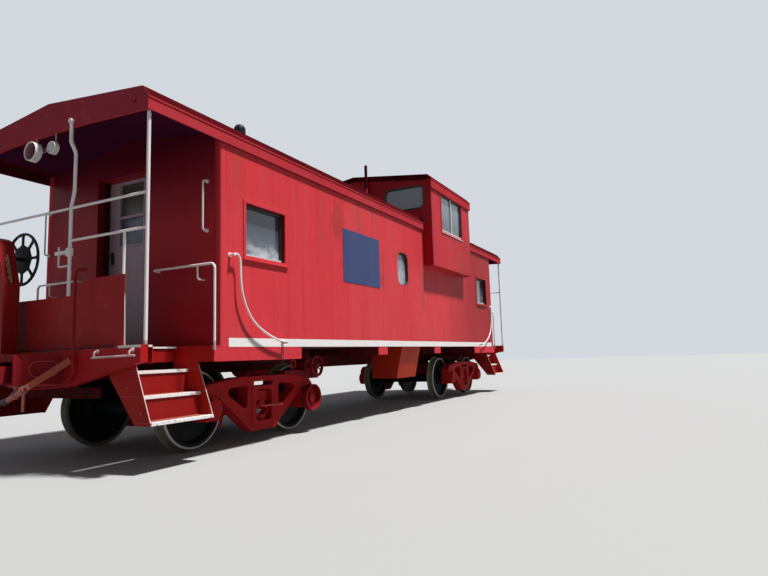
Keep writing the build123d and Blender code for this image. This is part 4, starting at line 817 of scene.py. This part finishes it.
# %% Door glass, its frame, kick plate, knob and lock
LIGHT_Z0, LIGHT_Z1, MEETING_Z, LIGHT_HALF_W = 2.333, 3.077, 2.655, 0.205
KNOB_Y, KNOB_Z = 0.432, 2.217
for end_name, end in ENDS:
    low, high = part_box(f"door_{end_name}")
    outside = end * max(abs(low.x), abs(high.x))
    hand = -end
    y0, y1 = hand * 0.120 - LIGHT_HALF_W, hand * 0.120 + LIGHT_HALF_W
    body = f"door_{end_name}"
    boxes(f"door_pane_{end_name}", [(outside - end * 0.030, outside - end * 0.036, y0, y1, LIGHT_Z0, LIGHT_Z1)],
          door_glass, body, bevel=0)
    bars = ((y0 - 0.020, y1 + 0.020, LIGHT_Z1 - 0.004, LIGHT_Z1 + 0.022),
            (y0 - 0.020, y1 + 0.020, LIGHT_Z0 - 0.022, LIGHT_Z0 + 0.004),
            (y0 - 0.020, y0 + 0.005, LIGHT_Z0, LIGHT_Z1), (y1 - 0.005, y1 + 0.020, LIGHT_Z0, LIGHT_Z1),
            (y0, y1, MEETING_Z, MEETING_Z + 0.035))
    boxes(f"door_light_frame_{end_name}", [(outside - end * 0.028, outside + end * 0.006, *bar) for bar in bars],
          mauve_paint, body)
    boxes(f"door_kick_plate_{end_name}", [(outside, outside + end * 0.003, hand * 0.09 - 0.34, hand * 0.09 + 0.34,
                                           1.19, 1.42)], mauve_paint, body)
    knob_y = hand * KNOB_Y
    shape = bmesh.new()
    for depth, radius in ((0.006, 0.030), (0.028, 0.011), (0.045, 0.026)):
        bmesh.ops.create_cone(shape, cap_ends=True, segments=20, radius1=radius, radius2=radius * 0.8, depth=0.014,
                              matrix=Matrix.Translation((outside + end * depth, knob_y, KNOB_Z))
                              @ Matrix.Rotation(end * pi / 2, 4, "Y"))
    settle(shape, f"door_knob_{end_name}", steel_dark, body)
    boxes(f"door_lock_{end_name}", [(outside, outside + end * 0.006, knob_y - 0.028, knob_y + 0.028, 2.12, 2.27)],
          steel_dark, body)
print("door furniture made")

# %% [markdown]
# ## Hand grabs and rails
# Crew climbed on and off a moving car, so there is something to hold everywhere: upright grab irons
# on the end walls and low ones on the end beams, with a round foot where a bar meets the car.

# %% Grab irons on the end walls and the beams
for end_name, end in ENDS:
    hand = -end
    wall = end * BODY_HALF_L
    routes = []
    feet = []
    for y, z0, z1 in ((-1.242, 2.294, 2.819), (1.380, 2.310, 2.830)):
        out = wall + end * 0.063
        routes.append([(wall, hand * y, z1), (out, hand * y, z1), (out, hand * y, z0), (wall, hand * y, z0)])
        feet += [((wall, hand * y, z), (end, 0, 0)) for z in (z0, z1)]
    beam = end * BEAM_FACE
    for side in (-1, 1):
        out = beam + end * 0.040
        routes.append([(out, side * 0.842, 1.013), (out, side * 1.392, 1.022)])
        for y in (0.870, 1.326):
            routes.append([(beam, side * y, 1.068), (out, side * y, 1.062), (out, side * y, 1.016)])
            feet.append(((beam, side * y, 1.068), (end, 0, 0)))
    pipes(f"grab_irons_{end_name}", routes, 0.0100, white_enamel, bend=0.022)
    bolts(f"grab_feet_{end_name}", feet, white_enamel, radius=0.022, height=0.020, sides=12, taper=0.8)
print("grab irons made")

# %% [markdown]
# ## Brake pipe and uncoupling bar
# The brake pipe comes down the end beam to an angle cock with a capped end, and a rusted flat bar
# slants across it to lift the coupler's lock. The bent post carries a valve bracket, and its head
# hooks in front of the roof's fascia.

# %% Fittings of both ends
POST_X, COCK_X = 5.500, 5.800


def flat_bar(name, start, end, width, thick, up, material):
    """A straight flat bar whose broad side faces up."""
    a, b = Vector(start), Vector(end)
    along = (b - a).normalized()
    across = along.cross(Vector(up)).normalized()
    turn = Matrix((along, across, across.cross(along))).transposed().to_4x4()
    shape = bmesh.new()
    bmesh.ops.create_cube(shape, size=1, matrix=Matrix.Translation((a + b) / 2) @ turn
                          @ Matrix.Diagonal(((b - a).length, width, thick, 1)))
    bmesh.ops.bevel(shape, geom=list(shape.edges), offset=0.002, segments=1, affect="EDGES")
    settle(shape, name, material)
    return b, across


for end_name, end in ENDS:
    out = BEAM_FACE + 0.040
    pipes(f"brake_pipe_{end_name}", [at_end(end, (5.490, -0.577, 1.840), (out, -0.577, 1.840), (out, -0.577, 0.861),
                                            (out, -0.419, 0.761), (COCK_X, -0.205, 0.752))],
          0.014, plain_red, bend=0.05)
    for label, radius, sides, material, routes in (
            ("angle_cock", 0.032, 16, pink_metal, ((-0.215, 0.755, -0.050, 0.688), (-0.105, 0.745, -0.085, 0.795))),
            ("angle_cock_collars", 0.041, 8, pink_metal,
             ((-0.190, 0.745, -0.168, 0.736), (-0.085, 0.702, -0.063, 0.693))),
            ("hose_end", 0.026, 16, pink_metal, ((-0.055, 0.690, 0.060, 0.645),)),
            ("hose_cap", 0.034, 16, rubber, ((0.050, 0.649, 0.110, 0.626),))):
        pipes(f"{label}_{end_name}", [at_end(end, (COCK_X, y0, z0), (COCK_X, y1, z1)) for y0, z0, y1, z1 in routes],
              radius, material, sides=sides)
    boxes(f"cock_strap_{end_name}", [box_at_end(end, COCK_X - 0.006, COCK_X + 0.006, -0.207, -0.173, 0.551, 0.775)],
          pink_metal)
    boxes(f"bar_bracket_{end_name}", [box_at_end(end, BEAM_FACE, BEAM_FACE + 0.034, -0.535, -0.415, 0.966, 1.079)],
          plain_red)
    low, high, broad = at_end(end, (5.600, -0.545, 1.000), (COCK_X, -0.245, 0.768), (0.75, -0.6, 0.25))
    tip, across = flat_bar(f"uncoupling_bar_{end_name}", low, high, 0.062, 0.012, broad, rust_bar)
    pipes(f"uncoupling_curl_{end_name}", [[tip - across * 0.026, tip + across * 0.026]], 0.014, pink_metal)
    boxes(f"valve_bracket_{end_name}",
          [box_at_end(end, POST_X - 0.02, POST_X + 0.02, -0.30, -0.36, 2.00, 2.08),
           box_at_end(end, POST_X - 0.012, POST_X + 0.012, -0.12, -0.31, 2.025, 2.060)], white_enamel)
    pipes(f"valve_arm_{end_name}", [at_end(end, (POST_X, -0.17, 2.105), (POST_X, -0.17, 1.907),
                                           (POST_X, -0.30, 1.907))], 0.009, white_enamel, bend=0.02)
    front = ROOF_HALF_L + 0.016
    pipes(f"post_head_{end_name}", [at_end(end, (POST_X, -0.388, 3.005), (5.518, -0.396, 3.035),
                                           (front, -0.406, 3.110), (front, -0.406, 3.310))],
          0.017, white_enamel, bend=0.04)
    eye, = at_end(end, (front - 0.012, -0.406, 3.318))
    bolts(f"post_eye_{end_name}", [(eye, (end, 0, 0))], white_enamel, radius=0.027, height=0.034, sides=14,
          taper=0.9)
print("end fittings made")

# %% [markdown]
# ## Small things beside the rear truck
# A wire ties the corner grab's foot, an empty pipe hanger is left under the sill, and a bright rod
# shows in the spring window of the truck.

# %% Tie, pipe hanger and brake rod
HOOP_X, HOOP_Y, HOOP_Z, HOOP_R = -3.079, -1.180, 0.885, 0.05
pipes("grab_tie", [[(-3.663, -1.480, 1.105), (-3.660, -1.470, 0.900)]], 0.004, steel_dark, sides=8)
hoop = [(HOOP_X + HOOP_R * cos(2 * pi * i / 24), HOOP_Y, HOOP_Z + HOOP_R * sin(2 * pi * i / 24)) for i in range(25)]
hanger = [(HOOP_X, HOOP_Y, HOOP_Z + HOOP_R), (HOOP_X, HOOP_Y, 1.100)]
pipes("pipe_hoop", [hoop, hanger], 0.010, casting_red)
pipes("brake_rod", [[(-TRUCK_X - 0.044, -1.000, 0.408), (-TRUCK_X + 0.255, -1.150, 0.415)]], 0.013, bolt_red,
      "truck_rear")
print("hoop of", len(hoop), "points")

# %% [markdown]
# ## The chain of the hand brake
# The chain winds on a drum inside the gear housing and runs down in a slot of its side. A chain is
# one link over and over, with every second link turned by a quarter, so the tree makes the link once
# and puts it on points that carry their own turn.

# %% Chain by Geometry Nodes
def chain_tree():
    tree, given = new_tree("chain", Link="Float", Wire="Float")
    spots = given["Geometry"].node("GeometryNodeMeshToPoints", {0: given["Geometry"]})
    turn = spots.node("GeometryNodeInputNamedAttribute", {"Name": "turn"}, data_type="FLOAT_VECTOR")
    loop = spots.node("GeometryNodeCurvePrimitiveCircle", {"Resolution": 12, "Radius": given["Link"]})
    narrow = loop.node("GeometryNodeTransform", {0: loop, "Scale": (1, 0.62, 1)})
    wire = spots.node("GeometryNodeCurvePrimitiveCircle", {"Resolution": 6, "Radius": given["Wire"]})
    link = narrow.node("GeometryNodeCurveToMesh", {"Curve": narrow, "Profile Curve": wire})
    chain = spots.node("GeometryNodeInstanceOnPoints", {"Points": spots, "Instance": link, "Rotation": turn})
    return close_tree(tree, chain, given["Material"])


CHAIN_PITCH = 0.034
low, high = Vector((-5.674, 0.303, 1.800)), Vector((-5.674, 0.384, 2.045))
along = (high - low).normalized()
broad = Vector((1, 0, 0))
count = round((high - low).length / CHAIN_PITCH)
spots = [low.lerp(high, i / count) for i in range(count + 1)]
turns = []
for i in range(len(spots)):
    across = broad if i % 2 else along.cross(broad)
    turns.append(Matrix((along, across, along.cross(across))).transposed().to_euler())
grown(pointed("brake_chain", spots, "turn", turns), chain_tree(), {"Link": 0.023, "Wire": 0.0062}, "brake_chain",
      chain_steel, "car_body")
print("chain of", len(spots), "links")

# %% [markdown]
# ## Bolts of the body and the trucks
# The side sheets are welded, so the body has few rivets, but the fascias, the cheek plates of the
# steps and the journal boxes are bolted.

# %% Rows of bolts
STEP_BOLTS = ((1.30, 0.52), (1.12, 0.74), (0.96, 0.96), (1.38, 1.02))
for end_name, end in ENDS:
    rows = [((end * (ROOF_HALF_L + 0.002), y, 3.328), (end, 0, 0)) for y in (-1.273, 1.273)]
    bolts(f"fascia_bosses_{end_name}", rows, plain_red, radius=0.020, height=0.016, sides=12)
    for side_name, side in SIDES:
        rows = [((end * x, side * y, z), (turn, 0, 0))
                for x, turn in ((BODY_HALF_L + 0.080, -end), (BODY_HALF_L + 0.832, end)) for y, z in STEP_BOLTS]
        bolts(f"step_bolts_{end_name}_{side_name}", rows, bolt_red)

for end_name, end in ENDS:
    for side_name, side in SIDES:
        rows = [((end * TRUCK_X + hand * HALF_BASE + dx, side * 1.086, AXLE_Z + dz), (0, side, 0))
                for hand in (-1, 1) for dx in (-0.108, 0.108) for dz in (-0.095, 0.095)]
        bolts(f"truck_bolts_{end_name}_{side_name}", rows, casting_red, f"truck_{end_name}", radius=0.014,
              height=0.016)
print("bolts placed")

# %% [markdown]
# ## Lamps
# Two lamps hang under the end fascia: a deep red signal lens in a white drum, and a smaller clear
# lamp. The drums come with the model. Here each gets a domed lens and a bright ring.

# %% Lenses
def dome(name, centre, facing, radius, depth, material):
    shape = bmesh.new()
    turn = Vector((0, 0, 1)).rotation_difference(Vector(facing)).to_matrix().to_4x4()
    bmesh.ops.create_uvsphere(shape, u_segments=28, v_segments=14, radius=1,
                              matrix=Matrix.Translation(centre) @ turn @ Matrix.Diagonal((radius, radius, depth, 1)))
    for face in shape.faces:
        face.smooth = True
    return settle(shape, name, material)


LENSES = {"red": red_lens, "clear": clear_lens}
for end_name, end in ENDS:
    for label, y, z, radius, depth in LAMPS:
        front = ROOF_HALF_L + depth
        centre, = at_end(end, (front - 0.012, y, z))
        dome(f"lamp_{label}_{end_name}", centre, (end, 0, 0), radius - 0.012, 0.016, LENSES[label])
        rim = radius - 0.005
        ring = [(end * front, -end * y + rim * cos(2 * pi * i / 32), z + rim * sin(2 * pi * i / 32)) for i in range(33)]
        pipes(f"lamp_ring_{label}_{end_name}", [ring], 0.005, white_enamel)
print("lamps made")

# %% [markdown]
# ## The stage
# A plain pale floor carries the shadow, and the sky around is a soft pale grey. Both look paler to
# the camera than they shine on the car, so the colours stay as painted. The key light comes from the
# right of the car and above it, as the sun does in the picture, so that the long side is bright and
# the near end lies in shade.

# %% Floor and light
def seen_rays(tree):
    """1 for what the camera sees, also in a mirror or through glass, and 0 for light on the car."""
    rays = Wire(tree, None).node("ShaderNodeLightPath")
    return rays.larger(rays.sibling("Is Glossy Ray")).larger(rays.sibling("Is Transmission Ray"))


FLOOR_HALF = 60
FLOOR_ON_CAR, FLOOR_SEEN = (0.19, 0.19, 0.185, 1), (0.39, 0.39, 0.385, 1)
SKY_COLOUR, SKY_ON_CAR, SKY_SEEN = (0.80, 0.84, 0.90, 1), 0.16, 0.82
SUN_WAY, SUN_STRENGTH = (-0.29, 1.00, -2.60), 5.4
floor_mesh = bpy.data.meshes.new("floor")
floor_mesh.from_pydata([(x * FLOOR_HALF, y * FLOOR_HALF, 0) for x, y in ((-1, -1), (1, -1), (1, 1), (-1, 1))], [],
                       [(0, 1, 2, 3)])
floor = placed("floor", floor_mesh)
floor_paint = bpy.data.materials.new("floor paint")
floor_paint.use_nodes = True
tree = floor_paint.node_tree
shader = tree.nodes["Principled BSDF"]
shown = seen_rays(tree).blend(FLOOR_ON_CAR, FLOOR_SEEN)
tree.links.new(shown.socket, shader.inputs["Base Color"])
shader.inputs["Roughness"].default_value = 0.9
floor_mesh.materials.append(floor_paint)

world = bpy.data.worlds.new("sky")
bpy.context.scene.world = world
world.use_nodes = True
backdrop = world.node_tree.nodes["Background"]
backdrop.inputs["Color"].default_value = SKY_COLOUR
strength = seen_rays(world.node_tree) * (SKY_SEEN - SKY_ON_CAR) + SKY_ON_CAR
world.node_tree.links.new(strength.socket, backdrop.inputs["Strength"])

sun = bpy.data.lights.new("key", "SUN")
sun.energy = SUN_STRENGTH
sun.angle = radians(4)
key = placed("key", sun)
key.rotation_euler = Vector(SUN_WAY).to_track_quat("-Z", "Y").to_euler()
print("stage is set")

# %% [markdown]
# ## The camera
# It stands low beside the near end, where the photographer stood, and is tilted up a little.

# %% Camera
EYE = (-8.988, -5.538, 0.957)
YAW, PITCH, ROLL = radians(27.30), radians(6.65), radians(-1.77)
camera_data = bpy.data.cameras.new("camera")
camera = placed("camera", camera_data)
camera_data.sensor_width = 36.0
camera_data.lens = 27.06
camera_data.clip_end = 500
forward = Vector((cos(YAW) * cos(PITCH), sin(YAW) * cos(PITCH), sin(PITCH)))
level = Vector((sin(YAW), -cos(YAW), 0))
upright = level.cross(forward)
right = cos(ROLL) * level + sin(ROLL) * upright
up = -sin(ROLL) * level + cos(ROLL) * upright
camera.matrix_world = Matrix.Translation(EYE) @ Matrix((right, up, -forward)).transposed().to_4x4()
bpy.context.scene.camera = camera
bpy.context.scene.view_settings.view_transform = "Standard"
print("camera at", [round(v, 3) for v in camera.matrix_world.translation])
